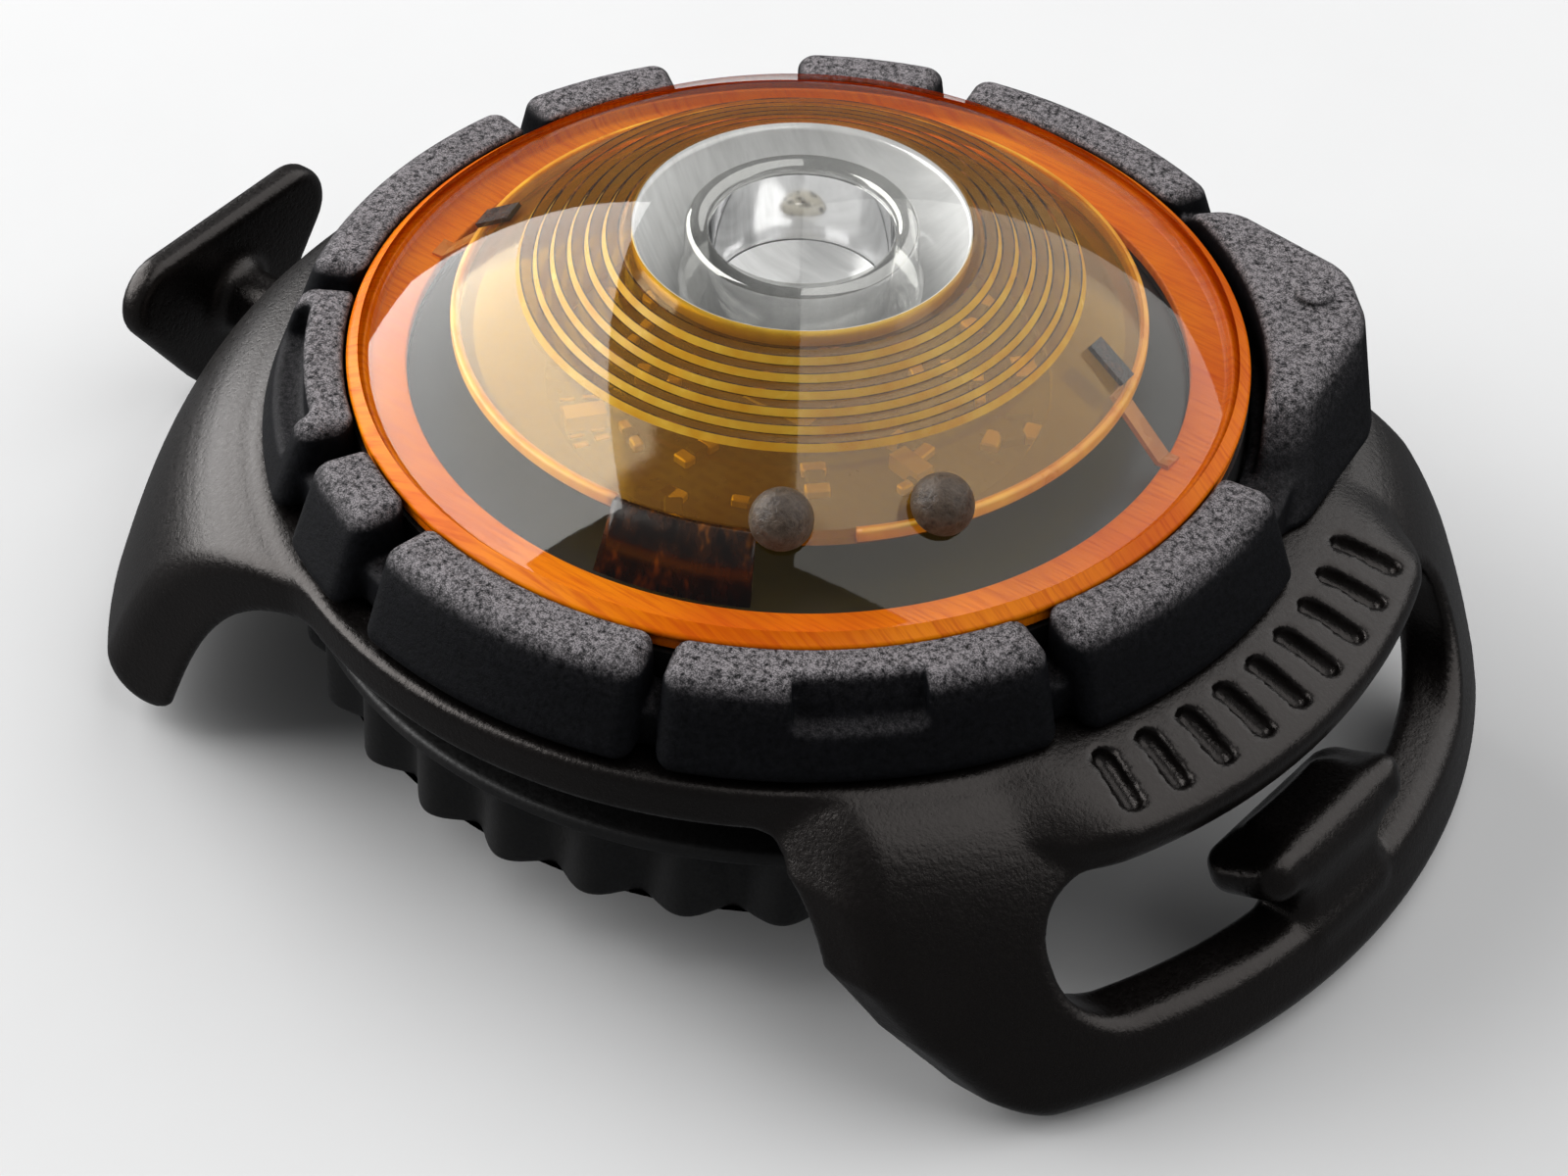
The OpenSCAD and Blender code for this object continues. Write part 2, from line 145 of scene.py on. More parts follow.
def box_mesh(size, bevel=0.05):
    """A box on z = 0 with chamfered upright and top edges, in millimetres."""
    sx, sy, sz = size[0] / 2, size[1] / 2, size[2]
    b = min(bevel, sx * 0.5, sy * 0.5, sz * 0.4)
    outline = [
        (-sx + b, -sy), (sx - b, -sy), (sx, -sy + b), (sx, sy - b),
        (sx - b, sy), (-sx + b, sy), (-sx, sy - b), (-sx, -sy + b)
    ]
    verts = [(x, y, 0) for x, y in outline] + [(x, y, sz - b) for x, y in outline]
    verts += [(x * (1 - b / sx), y * (1 - b / sy), sz) for x, y in outline]
    faces = [tuple(range(7, -1, -1)), tuple(range(16, 24))]
    for ring in (0, 8):
        for k in range(8):
            n = (k + 1) % 8
            faces.append((ring + k, ring + n, ring + 8 + n, ring + 8 + k))
    return verts, faces


def join(parts):
    """Joins a list of (verts, faces) into one."""
    verts, faces = [], []
    for v, f in parts:
        base = len(verts)
        verts += list(v)
        faces += [tuple(i + base for i in face) for face in f]
    return verts, faces


def place(part, r, angle, z, turn=0.0):
    """Moves a (verts, faces) part to a radius and an angle in degrees around Z, at height z."""
    matrix = Matrix.Rotation(math.radians(angle), 3, "Z")
    spin = Matrix.Rotation(math.radians(turn), 3, "Z")
    verts = [tuple(matrix @ (spin @ Vector(v) + Vector((r, 0, 0))) + Vector((0, 0, z))) for v in part[0]]
    return verts, part[1]


# ---- Distance fields -------------------------------------------------------------

def join_round(a, b, radius):
    """Union of two fields with a fillet of this radius."""
    u, v = np.maximum(radius - a, 0), np.maximum(radius - b, 0)
    return np.maximum(radius, np.minimum(a, b)) - np.hypot(u, v)


def cut_round(a, b, radius):
    """Intersection of two fields with its edge rounded to this radius."""
    u, v = np.maximum(radius + a, 0), np.maximum(radius + b, 0)
    return np.minimum(-radius, np.maximum(a, b)) + np.hypot(u, v)


def rect(u, v, half_u, half_v, radius):
    """Distance to a rectangle with rounded corners, centred on the origin of u and v."""
    qu, qv = np.abs(u) - half_u + radius, np.abs(v) - half_v + radius
    return np.hypot(np.maximum(qu, 0), np.maximum(qv, 0)) + np.minimum(np.maximum(qu, qv), 0) - radius


def outline_field(u, v, points):
    """Distance to a closed outline, negative inside."""
    best = np.full(np.broadcast(u, v).shape, 1e9)
    crossings = np.zeros(best.shape, bool)
    for (au, av), (bu, bv) in zip(points, points[1:] + points[:1]):
        du, dv = bu - au, bv - av
        t = np.clip(((u - au) * du + (v - av) * dv) / (du * du + dv * dv), 0, 1)
        best = np.minimum(best, np.hypot(u - au - t * du, v - av - t * dv))
        spans = (av > v) != (bv > v)
        crossings ^= spans & (u < (v - av) * du / (dv if dv else 1) + au)
    return np.where(crossings, -best, best)


def band_table(points, radii, low, high, step):
    """A lookup of the distance to a band: a line through points, as thick as radii say."""
    us, vs = np.arange(low[0], high[0], step), np.arange(low[1], high[1], step)
    u, v = np.meshgrid(us, vs, indexing="ij")
    best = np.full(u.shape, 1e9)
    for (a, b), (ra, rb) in zip(zip(points, points[1:]), zip(radii, radii[1:])):
        du, dv = b[0] - a[0], b[1] - a[1]
        t = np.clip(((u - a[0]) * du + (v - a[1]) * dv) / (du * du + dv * dv), 0, 1)
        best = np.minimum(best, np.hypot(u - a[0] - t * du, v - a[1] - t * dv) - (ra + (rb - ra) * t))

    def look_up(pu, pv):
        x = np.clip((pu - low[0]) / step, 0, best.shape[0] - 1.001)
        y = np.clip((pv - low[1]) / step, 0, best.shape[1] - 1.001)
        i, j = x.astype(int), y.astype(int)
        fx, fy = x - i, y - j
        near = best[i, j] * (1 - fy) + best[i, j + 1] * fy
        far = best[i + 1, j] * (1 - fy) + best[i + 1, j + 1] * fy
        return near * (1 - fx) + far * fx

    return look_up


def bezier(a, b, c, d, steps):
    """Points on a cubic curve."""
    a, b, c, d = (np.array(p, float) for p in (a, b, c, d))
    t = np.linspace(0, 1, steps)[:, None]
    return ((1 - t) ** 3 * a + 3 * t * (1 - t) ** 2 * b + 3 * t * t * (1 - t) * c + t ** 3 * d).tolist()


def surface_net(field, low, high, step):
    """Quads on the zero surface of a field, found on a grid and then moved onto the surface itself."""
    axes = [np.arange(low[k], high[k] + step, step) for k in range(3)]
    x, y, z = np.meshgrid(*axes, indexing="ij", sparse=True)
    f = field(x, y, z)
    inside = f < 0
    corners = [(i, j, k) for i in (0, 1) for j in (0, 1) for k in (0, 1)]
    n = np.array(f.shape) - 1

    def at(a, corner):
        i, j, k = corner
        return a[i:i + n[0], j:j + n[1], k:k + n[2]]

    total = sum(at(inside, c).astype(np.int8) for c in corners)
    cells = np.argwhere((total > 0) & (total < 8))
    index = np.full(tuple(n), -1)
    index[tuple(cells.T)] = np.arange(len(cells))
    place_sum, hits = np.zeros((len(cells), 3)), np.zeros(len(cells))
    for a in corners:
        for b in corners:
            if sum(b) - sum(a) != 1 or any(q < p for p, q in zip(a, b)):
                continue
            fa, fb = f[tuple((cells + a).T)], f[tuple((cells + b).T)]
            crossing = (fa < 0) != (fb < 0)
            t = np.where(crossing, fa / np.where(crossing, fa - fb, 1), 0)[:, None]
            place_sum += np.where(crossing[:, None], np.array(a) + t * (np.array(b) - np.array(a)), 0)
            hits += crossing
    verts = (cells + place_sum / hits[:, None]) * step + np.array(low)
    faces = []
    for axis in range(3):
        u, v = (axis + 1) % 3, (axis + 2) % 3
        first = np.take(inside, range(0, f.shape[axis] - 1), axis)
        second = np.take(inside, range(1, f.shape[axis]), axis)
        edges = np.argwhere(first != second)
        edges = edges[(edges[:, u] > 0) & (edges[:, v] > 0) & (edges[:, u] < n[u]) & (edges[:, v] < n[v])]
        eu, ev = np.eye(3, dtype=int)[u], np.eye(3, dtype=int)[v]
        around = ((1, 1), (0, 1), (0, 0), (1, 0))
        quad = np.stack([index[tuple((edges - du * eu - dv * ev).T)] for du, dv in around], 1)
        flip = ~first[tuple(edges.T)]
        quad[flip] = quad[flip][:, ::-1]
        faces.append(quad)
    reach, passes, flattest = 0.02, 3, 0.05
    for _ in range(passes):
        value = field(*verts.T)
        rise = [field(*(verts + reach * e).T) - field(*(verts - reach * e).T) for e in np.eye(3)]
        slope = np.stack(rise, 1) / (2 * reach)
        size = np.maximum((slope ** 2).sum(1), flattest)
        verts = verts - np.clip(value / size, -step, step)[:, None] * slope
    return verts, np.concatenate(faces)


# ---- Node material helpers ---------------------------------------------------------

class Nodes:
    """A material's node tree, with short calls for the nodes used here."""

    def __init__(self, name):
        self.material = bpy.data.materials.new(name)
        self.material.use_nodes = True
        self.tree = self.material.node_tree
        self.shader = self.tree.nodes["Principled BSDF"]
        self.output = self.tree.nodes["Material Output"]
        self.coords = self.tree.nodes.new("ShaderNodeTexCoord").outputs["Object"]

    def add(self, kind, **values):
        node = self.tree.nodes.new(kind)
        for key, value in values.items():
            setattr(node, key, value)
        return node

    def link(self, source, target):
        self.tree.links.new(source, target)

    def set(self, **values):
        for key, value in values.items():
            self.shader.inputs[key.replace("_", " ")].default_value = value

    def noise(self, scale, detail=3.0, rough=0.6, coords=None):
        node = self.add("ShaderNodeTexNoise")
        node.inputs["Scale"].default_value = scale
        node.inputs["Detail"].default_value = detail
        node.inputs["Roughness"].default_value = rough
        self.link(coords or self.coords, node.inputs["Vector"])
        return node.outputs["Fac"]

    def voronoi(self, scale):
        node = self.add("ShaderNodeTexVoronoi", feature="F1")
        node.inputs["Scale"].default_value = scale
        self.link(self.coords, node.inputs["Vector"])
        return node.outputs["Distance"]

    def ramp(self, source, stops):
        node = self.add("ShaderNodeValToRGB")
        elements = node.color_ramp.elements
        while len(elements) < len(stops):
            elements.new(0.5)
        for element, (position, colour) in zip(elements, stops):
            element.position = position
            element.color = (*colour, 1)
        self.link(source, node.inputs["Fac"])
        return node.outputs["Color"]

    def grey(self, source, low, high, start=0.0, end=1.0):
        node = self.add("ShaderNodeMapRange")
        for key, value in (("From Min", start), ("From Max", end), ("To Min", low), ("To Max", high)):
            node.inputs[key].default_value = value
        self.link(source, node.inputs["Value"])
        return node.outputs["Result"]

    def math(self, operation, a, b=None, c=None):
        node = self.add("ShaderNodeMath", operation=operation)
        for socket, value in zip(node.inputs, (a, b, c)):
            if value is None:
                continue
            if isinstance(value, (int, float)):
                socket.default_value = value
            else:
                self.link(value, socket)
        return node.outputs["Value"]

    def mix(self, factor, a, b):
        node = self.add("ShaderNodeMix", data_type="RGBA")
        for socket, value in ((node.inputs[0], factor), (node.inputs[6], a), (node.inputs[7], b)):
            if isinstance(value, (int, float)):
                socket.default_value = value
            elif isinstance(value, (tuple, list)):
                socket.default_value = (*value, 1)
            else:
                self.link(value, socket)
        return node.outputs[2]

    def colour(self, source):
        self.link(source, self.shader.inputs["Base Color"])

    def roughness(self, source):
        self.link(source, self.shader.inputs["Roughness"])

    def bump(self, source, strength, distance):
        node = self.add("ShaderNodeBump")
        node.inputs["Strength"].default_value = strength
        node.inputs["Distance"].default_value = distance
        self.link(source, node.inputs["Height"])
        self.link(node.outputs["Normal"], self.shader.inputs["Normal"])

    def blend(self, share, first, second):
        """Sends a mix of two shaders to the output. share, a number or a socket, is the second's part."""
        mix = self.add("ShaderNodeMixShader")
        if isinstance(share, (int, float)):
            mix.inputs["Fac"].default_value = share
        else:
            self.link(share, mix.inputs["Fac"])
        self.link(first, mix.inputs[1])
        self.link(second, mix.inputs[2])
        self.link(mix.outputs[0], self.output.inputs["Surface"])


def elastomer_material():
    """Dark brown-black elastomer, satin, with a fine moulded grain."""
    m = Nodes("clip_elastomer")
    grain = m.noise(5200, 3, 0.65)
    patch = m.noise(160, 2, 0.5)
    m.colour(m.mix(m.grey(patch, 0, 1, 0.35, 0.7), (0.0018, 0.0013, 0.0012), (0.0036, 0.0027, 0.0025)))
    m.roughness(m.grey(grain, 0.25, 0.37, 0.3, 0.7))
    m.bump(grain, 0.5, 0.00005)
    m.set(Specular_IOR_Level=0.48, Specular_Tint=(1.0, 0.92, 0.88, 1))
    return m.material


def bumper_material():
    """Dark rubber with a pale speckle painted on its upward faces near the top: painted light on the top
    faces.
    """
    m = Nodes("bumper_rubber")
    grain = m.noise(4200, 4, 0.75)
    speckle = m.noise(16000, 2, 0.8)
    geometry = m.add("ShaderNodeNewGeometry")
    normal = m.add("ShaderNodeSeparateXYZ")
    m.link(geometry.outputs["Normal"], normal.inputs[0])
    # Painted light: faces that point up, near the top, are painted pale, broken up by the grain and a
    # speckle.
    up = m.grey(normal.outputs["Z"], 0, 1, 0.3, 0.95)
    place_of = m.add("ShaderNodeSeparateXYZ")
    m.link(m.coords, place_of.inputs[0])
    up = m.math("MULTIPLY", up, m.grey(place_of.outputs["Z"], 0.1, 1, 0.0108, 0.0122))
    painted_top_light = m.math("MULTIPLY", up, m.grey(grain, 0, 1, 0.36, 0.62))
    painted_top_light = m.math("MULTIPLY", painted_top_light, m.grey(speckle, 0.3, 2.0, 0.4, 0.68))
    base = m.mix(m.grey(grain, 0, 1, 0.3, 0.7), (0.001, 0.0011, 0.0016), (0.0035, 0.0038, 0.0055))
    m.colour(m.mix(painted_top_light, base, (0.27, 0.25, 0.26)))
    m.roughness(m.grey(grain, 0.5, 0.75, 0.3, 0.7))
    m.bump(grain, 0.5, 0.00007)
    m.set(Specular_IOR_Level=0.12)
    return m.material


def black_plastic_material():
    """Black moulding with a spark texture."""
    m = Nodes("black_plastic")
    grain = m.noise(5000, 3, 0.6)
    wear = m.noise(220, 3, 0.6)
    m.colour(m.mix(m.grey(wear, 0, 1, 0.4, 0.75), (0.003, 0.0028, 0.0028), (0.007, 0.0064, 0.0062)))
    m.roughness(m.grey(grain, 0.42, 0.62, 0.3, 0.7))
    m.bump(grain, 0.35, 0.00005)
    return m.material


def grey_plastic_material():
    m = Nodes("grey_plastic")
    grain = m.noise(3500, 2, 0.5)
    m.colour(m.mix(m.grey(grain, 0, 1), (0.05, 0.054, 0.06), (0.075, 0.08, 0.086)))
    m.roughness(m.grey(grain, 0.4, 0.55))
    m.bump(grain, 0.2, 0.00003)
    return m.material


def seal_material():
    m = Nodes("seal_rubber")
    grain = m.noise(2600, 3, 0.6)
    m.colour(m.mix(m.grey(grain, 0, 1), (0.09, 0.02, 0.012), (0.14, 0.035, 0.02)))
    m.roughness(m.grey(grain, 0.32, 0.5))
    m.bump(grain, 0.15, 0.00003)
    return m.material


def metal_material(name, tint, low, high, scale, metallic=1.0):
    """Plated or drawn metal with fine scratches."""
    m = Nodes(name)
    mapping = m.add("ShaderNodeMapping")
    mapping.inputs["Scale"].default_value = (1, 9, 1)
    m.link(m.coords, mapping.inputs["Vector"])
    scratch = m.noise(scale, 4, 0.7, mapping.outputs["Vector"])
    dark = tuple(c * 0.8 for c in tint)
    m.colour(m.mix(m.grey(scratch, 0, 1, 0.3, 0.7), dark, tint))
    m.roughness(m.grey(scratch, low, high, 0.3, 0.7))
    m.bump(scratch, 0.12, 0.00002)
    m.set(Metallic=metallic)
    return m.material


def board_material():
    """Dark green solder mask with faint copper tracks beneath it."""
    m = Nodes("board_laminate")
    wave = m.add("ShaderNodeTexBrick")
    wave.inputs["Scale"].default_value = 420
    wave.inputs["Mortar Size"].default_value = 0.06
    m.link(m.coords, wave.inputs["Vector"])
    weave = m.noise(1500, 2, 0.5)
    track = m.mix(wave.outputs["Fac"], (0.018, 0.028, 0.014), (0.045, 0.06, 0.024))
    m.colour(m.mix(m.grey(weave, 0, 0.4, 0.4, 0.8), track, (0.012, 0.02, 0.01)))
    m.roughness(m.grey(weave, 0.22, 0.38))
    m.bump(wave.outputs["Fac"], 0.3, 0.00003)
    return m.material


def epoxy_material():
    m = Nodes("chip_epoxy")
    grain = m.noise(3800, 3, 0.6)
    m.colour(m.mix(m.grey(grain, 0, 1), (0.018, 0.018, 0.02), (0.034, 0.034, 0.037)))
    m.roughness(m.grey(grain, 0.45, 0.65))
    m.bump(grain, 0.2, 0.00003)
    return m.material


def ceramic_material():
    m = Nodes("ceramic_tan")
    grain = m.noise(3000, 3, 0.6)
    m.colour(m.mix(m.grey(grain, 0, 1), (0.5, 0.37, 0.22), (0.68, 0.53, 0.36)))
    m.roughness(m.grey(grain, 0.4, 0.6))
    m.bump(grain, 0.15, 0.00002)
    return m.material


AMBER_HAZE = 0.1
# How much of each riser is the opaque gold painted glow
STEP_GLOW = 0.75
ARM_GLOW = 0.55


def see_through(m, tint, gloss_tint, gloss_roughness, ior, always=0.0, inner=0.0):
    """Thin clear plastic: tinted see-through under a glossy face.

    always is the gloss that it has from every angle, and inner is how much of the gloss its inner faces keep.
    """
    clear = m.add("ShaderNodeBsdfTransparent")
    clear.inputs["Color"].default_value = (*tint, 1)
    gloss = m.add("ShaderNodeBsdfGlossy")
    gloss.inputs["Roughness"].default_value = gloss_roughness
    gloss.inputs["Color"].default_value = (*gloss_tint, 1)
    geometry = m.add("ShaderNodeNewGeometry")
    fresnel = m.add("ShaderNodeFresnel")
    m.link(m.grey(geometry.outputs["Backfacing"], ior, 1 / ior), fresnel.inputs["IOR"])
    share = m.math("MULTIPLY_ADD", fresnel.outputs[0], 1 - always, always)
    share = m.math("MULTIPLY", share, m.grey(geometry.outputs["Backfacing"], 1, inner))
    m.blend(share, clear.outputs[0], gloss.outputs[0])
    m.tree.nodes.remove(m.shader)
    return gloss


def gloss_bump(m, gloss, source, strength, distance):
    bump = m.add("ShaderNodeBump")
    bump.inputs["Strength"].default_value = strength
    bump.inputs["Distance"].default_value = distance
    m.link(source, bump.inputs["Height"])
    m.link(bump.outputs["Normal"], gloss.inputs["Normal"])


def clear_material():
    """Polished clear polycarbonate with faint polishing marks."""
    m = Nodes("clear_plastic")
    gloss = see_through(m, (0.985, 0.985, 0.975), (1, 1, 1), 0.03, 1.52)
    gloss_bump(m, gloss, m.noise(900, 4, 0.7), 0.04, 0.00002)
    return m.material


def lens_material():
    """Thick clear plastic with bright faces, inside and out."""
    m = Nodes("lens_plastic")
    gloss = see_through(m, (0.95, 0.95, 0.94), (1, 1, 1), 0.04, 1.6, always=0.2, inner=1.0)
    gloss_bump(m, gloss, m.noise(600, 3, 0.6), 0.12, 0.00004)
    return m.material


def deck_material():
    """Smooth dark grey plastic."""
    m = Nodes("inner_deck")
    grain = m.noise(900, 3, 0.6)
    m.colour(m.mix(m.grey(grain, 0, 1), (0.012, 0.0115, 0.011), (0.02, 0.019, 0.018)))
    m.roughness(m.grey(grain, 0.3, 0.42))
    m.bump(grain, 0.15, 0.00004)
    return m.material


def die_material():
    """The LED's face: pale phosphor speckled with dark contacts."""
    m = Nodes("led_die")
    cells = m.voronoi(3200)
    m.colour(m.mix(m.grey(cells, 0, 1, 0.25, 0.5), (0.04, 0.035, 0.03), (0.75, 0.7, 0.6)))
    m.roughness(m.grey(cells, 0.2, 0.4))
    m.bump(cells, 0.5, 0.00006)
    return m.material


def amber_material():
    """Transparent amber plastic with a warm sheen and a thin gold haze."""
    m = Nodes("amber_plastic")
    gloss = see_through(m, (0.93, 0.77, 0.2), (1.0, 0.86, 0.6), 0.1, 1.6, inner=1.0)
    gloss_bump(m, gloss, m.noise(700, 3, 0.6), 0.15, 0.00004)
    clear = m.output.inputs["Surface"].links[0].from_socket
    haze = m.add("ShaderNodeBsdfDiffuse")
    cloud = m.noise(260, 4, 0.65)
    gold = m.mix(m.grey(cloud, 0, 1, 0.35, 0.65), (0.72, 0.27, 0.03), (0.9, 0.44, 0.09))
    m.link(gold, haze.inputs["Color"])
    m.blend(AMBER_HAZE, clear, haze.outputs[0])
    return m.material


def painted_glow_step_material():
    """The steps' risers, painted as opaque bright gold rings: painted glow standing in for light caught
    inside the amber.
    """
    m = Nodes("amber_step")
    clear = m.add("ShaderNodeBsdfTransparent")
    clear.inputs["Color"].default_value = (0.95, 0.66, 0.12, 1)
    streak = m.noise(400, 3, 0.7)
    m.colour(m.mix(m.grey(streak, 0, 1, 0.35, 0.65), (0.85, 0.4, 0.012), (1.0, 0.62, 0.06)))
    m.roughness(m.grey(streak, 0.15, 0.35))
    m.bump(streak, 0.2, 0.00004)
    m.blend(STEP_GLOW, clear.outputs[0], m.shader.outputs[0])
    return m.material


def painted_shade_amber_material():
    """Amber painted dark as shade, with lighter upright streaks."""
    m = Nodes("amber_skirt_painted_shade")
    mapping = m.add("ShaderNodeMapping")
    mapping.inputs["Scale"].default_value = (1, 1, 0.05)
    m.link(m.coords, mapping.inputs["Vector"])
    streak = m.noise(900, 3, 0.75, mapping.outputs["Vector"])
    stops = [(0.4, (0.006, 0.002, 0.001)), (0.55, (0.03, 0.008, 0.001)), (0.72, (0.3, 0.09, 0.004))]
    m.colour(m.ramp(streak, stops))
    m.roughness(m.grey(streak, 0.2, 0.35))
    m.bump(streak, 0.2, 0.00006)
    return m.material


def arm_material():
    """Half-clear pale orange, for the arms that hang the diffuser from its flange."""
    m = Nodes("amber_arm")
    clear = m.add("ShaderNodeBsdfTransparent")
    clear.inputs["Color"].default_value = (1.0, 0.6, 0.15, 1)
    grain = m.noise(700, 3, 0.6)
    m.colour(m.mix(m.grey(grain, 0, 1, 0.35, 0.65), (0.55, 0.2, 0.03), (0.75, 0.36, 0.09)))
    m.roughness(m.grey(grain, 0.2, 0.35))
    m.bump(grain, 0.2, 0.00004)
    m.blend(ARM_GLOW, clear.outputs[0], m.shader.outputs[0])
    return m.material


def flange_material():
    """The diffuser's flange: thick amber that glows orange, with slanting brushed marks."""
    m = Nodes("amber_flange")
    mapping = m.add("ShaderNodeMapping")
    mapping.inputs["Rotation"].default_value = (0, 0, math.radians(25))
    mapping.inputs["Scale"].default_value = (1, 14, 1)
    m.link(m.coords, mapping.inputs["Vector"])
    brushed = m.noise(420, 3, 0.6, mapping.outputs["Vector"])
    patch = m.noise(120, 2, 0.5)
    tone = m.mix(m.grey(patch, 0, 1, 0.35, 0.65), (0.72, 0.13, 0.0), (0.9, 0.24, 0.0))
    m.colour(m.mix(m.grey(brushed, 0, 0.6, 0.45, 0.7), tone, (0.55, 0.05, 0.0)))
    m.roughness(m.grey(brushed, 0.25, 0.45))
    m.bump(brushed, 0.3, 0.00005)
    m.set(Specular_IOR_Level=0.15)
    return m.material


def painted_glow_edge_material():
    """The diffuser's cut edge, painted bright gold: painted glow where the light leaves it."""
    m = Nodes("amber_edge")
    grain = m.noise(500, 3, 0.6)
    m.colour(m.mix(m.grey(grain, 0, 1, 0.35, 0.65), (0.75, 0.26, 0.006), (0.95, 0.5, 0.03)))
    m.roughness(m.grey(grain, 0.2, 0.4))
    m.bump(grain, 0.2, 0.00005)
    return m.material


def frosted_material():
    """Frosted raised dots."""
    m = Nodes("frosted_plastic")
    grain = m.noise(2600, 4, 0.75)
    m.colour(m.mix(m.grey(grain, 0, 1, 0.3, 0.7), (0.04, 0.026, 0.018), (0.2, 0.15, 0.11)))
    m.roughness(m.grey(grain, 0.25, 0.45))
    m.bump(grain, 0.8, 0.00016)
    m.set(Transmission_Weight=0.5, IOR=1.4)
    return m.material


def led_material():
    m = Nodes("led_resin")
    grain = m.noise(1500, 2, 0.5)
    m.colour(m.mix(m.grey(grain, 0, 1), (0.85, 0.8, 0.62), (0.98, 0.94, 0.8)))
    m.roughness(m.grey(grain, 0.12, 0.25))
    m.bump(grain, 0.1, 0.00002)
    return m.material


def floor_material():
    """Pale paper, seen only from above, so that the underside can be looked at."""
    m = Nodes("floor_paper")
    grain = m.noise(60, 4, 0.6)
    m.colour(m.mix(m.grey(grain, 0, 1), (0.66, 0.66, 0.66), (0.7, 0.7, 0.7)))
    m.roughness(m.grey(grain, 0.7, 0.85))
    m.bump(grain, 0.05, 0.0005)
    geometry = m.add("ShaderNodeNewGeometry")
    clear = m.add("ShaderNodeBsdfTransparent")
    m.blend(geometry.outputs["Backfacing"], m.shader.outputs[0], clear.outputs[0])
    return m.material


ELASTOMER = elastomer_material()
BUMPER = bumper_material()
BLACK = black_plastic_material()
GREY = grey_plastic_material()
SEAL = seal_material()
CELL = metal_material("cell_steel", (0.74, 0.74, 0.76), 0.22, 0.4, 900)
STEEL = metal_material("screw_steel", (0.62, 0.62, 0.64), 0.25, 0.42, 1200)
GOLD = metal_material("gold_plate", (1.0, 0.78, 0.32), 0.3, 0.45, 1200, 0.4)
CHROME = metal_material("reflector_chrome", (0.95, 0.95, 0.96), 0.05, 0.12, 300)
SATIN = metal_material("reflector_satin", (0.96, 0.96, 0.97), 0.1, 0.25, 300, 0.2)
BOARD = board_material()
EPOXY = epoxy_material()
CERAMIC = ceramic_material()
CLEAR = clear_material()
LENS = lens_material()
DECK = deck_material()
LED_DIE = die_material()
AMBER = amber_material()
AMBER_STEP_PAINTED_GLOW = painted_glow_step_material()
AMBER_PAINTED_SHADE = painted_shade_amber_material()
ARM = arm_material()
FLANGE = flange_material()
EDGE = painted_glow_edge_material()
FROSTED = frosted_material()
LED = led_material()


# ---- Clip -----------------------------------------------------------------------------

CLIP_HALF = 19.0
BAR_LOW = FLOOR_Z
BAR_TOP = -0.3
WINDOW_HALF = 12.8
WINDOW_TOP = 5.4
SHELF_HALF = 11.6
HOOK_HALF = 4.4
HOOK_X, HOOK_Z = 24.35, 1.95
HOOK_TILT = math.radians(-20)
STUD_Z = 0.3
STUD_NECK_X, STUD_HEAD_X = -27.6, -30.15
STUD_NECK_R = 1.3
GROOVE_COUNT, GROOVE_SPREAD = 9, 21
GROOVE_IN, GROOVE_OUT, GROOVE_R = 21.6, 23.5, 0.44
TABLE_LOW, TABLE_HIGH, TABLE_STEP = (14, -8), (32, 12), 0.05

# The skirt's middle line, from the ring down to the foot, and half its thickness there
skirt_line = bezier((19.6, 7.35), (23.3, 7.45), (24.7, 2.6), (25.85, -1.75), 20)
skirt_half = np.linspace(0.95, 1.25, 20)
skirt = band_table(skirt_line, skirt_half, TABLE_LOW, TABLE_HIGH, TABLE_STEP)
loop_line = skirt_line + [(26.05, BAR_LOW + 1.25)]
loop_skirt = band_table(loop_line, np.append(skirt_half, 1.25), TABLE_LOW, TABLE_HIGH, TABLE_STEP)
visor_line = [(19.5, 7.35), (22.2, 7.15), (23.95, 6.75)]
visor = band_table(visor_line, (0.95, 0.9, 0.82), TABLE_LOW, TABLE_HIGH, TABLE_STEP)


def stud_field(x, y, z):
    """Neck along -X with a rounded three-cornered paddle on its end."""
    across = np.hypot(y, z - STUD_Z)
    neck = cut_round(across - STUD_NECK_R, np.abs(x - STUD_NECK_X) - 2.6, 0.2)
    plate = outline_field(y, z, [(-3.9, 2.1), (-0.8, -2.1), (0.8, -2.1), (3.9, 2.1)]) - 1.9
    head = cut_round(plate, np.abs(x - STUD_HEAD_X) - 0.62, 0.45)
    return join_round(neck, head, 0.8)


def hook_field(x, y, z, r):
    """T-shaped hook standing on the loop's bar, with a hollow along its crossbar."""
    stem = cut_round(cut_round(loop_skirt(r, z), np.abs(y) - 2.7, 0.8), z - 3.0, 0.5)
    stem = cut_round(stem, BAR_TOP - 1.2 - z, 0.8)
    u, v = x - HOOK_X, z - HOOK_Z
    along = u * math.cos(HOOK_TILT) - v * math.sin(HOOK_TILT)
    up = u * math.sin(HOOK_TILT) + v * math.cos(HOOK_TILT)
    bar = cut_round(rect(along, up, 1.95, 1.2, 1.0), np.abs(y) - HOOK_HALF, 1.2)
    scoop = np.hypot(along + 0.5, up - 5.4) - 4.55
    bar = cut_round(bar, -scoop, 0.8)
    return join_round(stem, bar, 0.9)


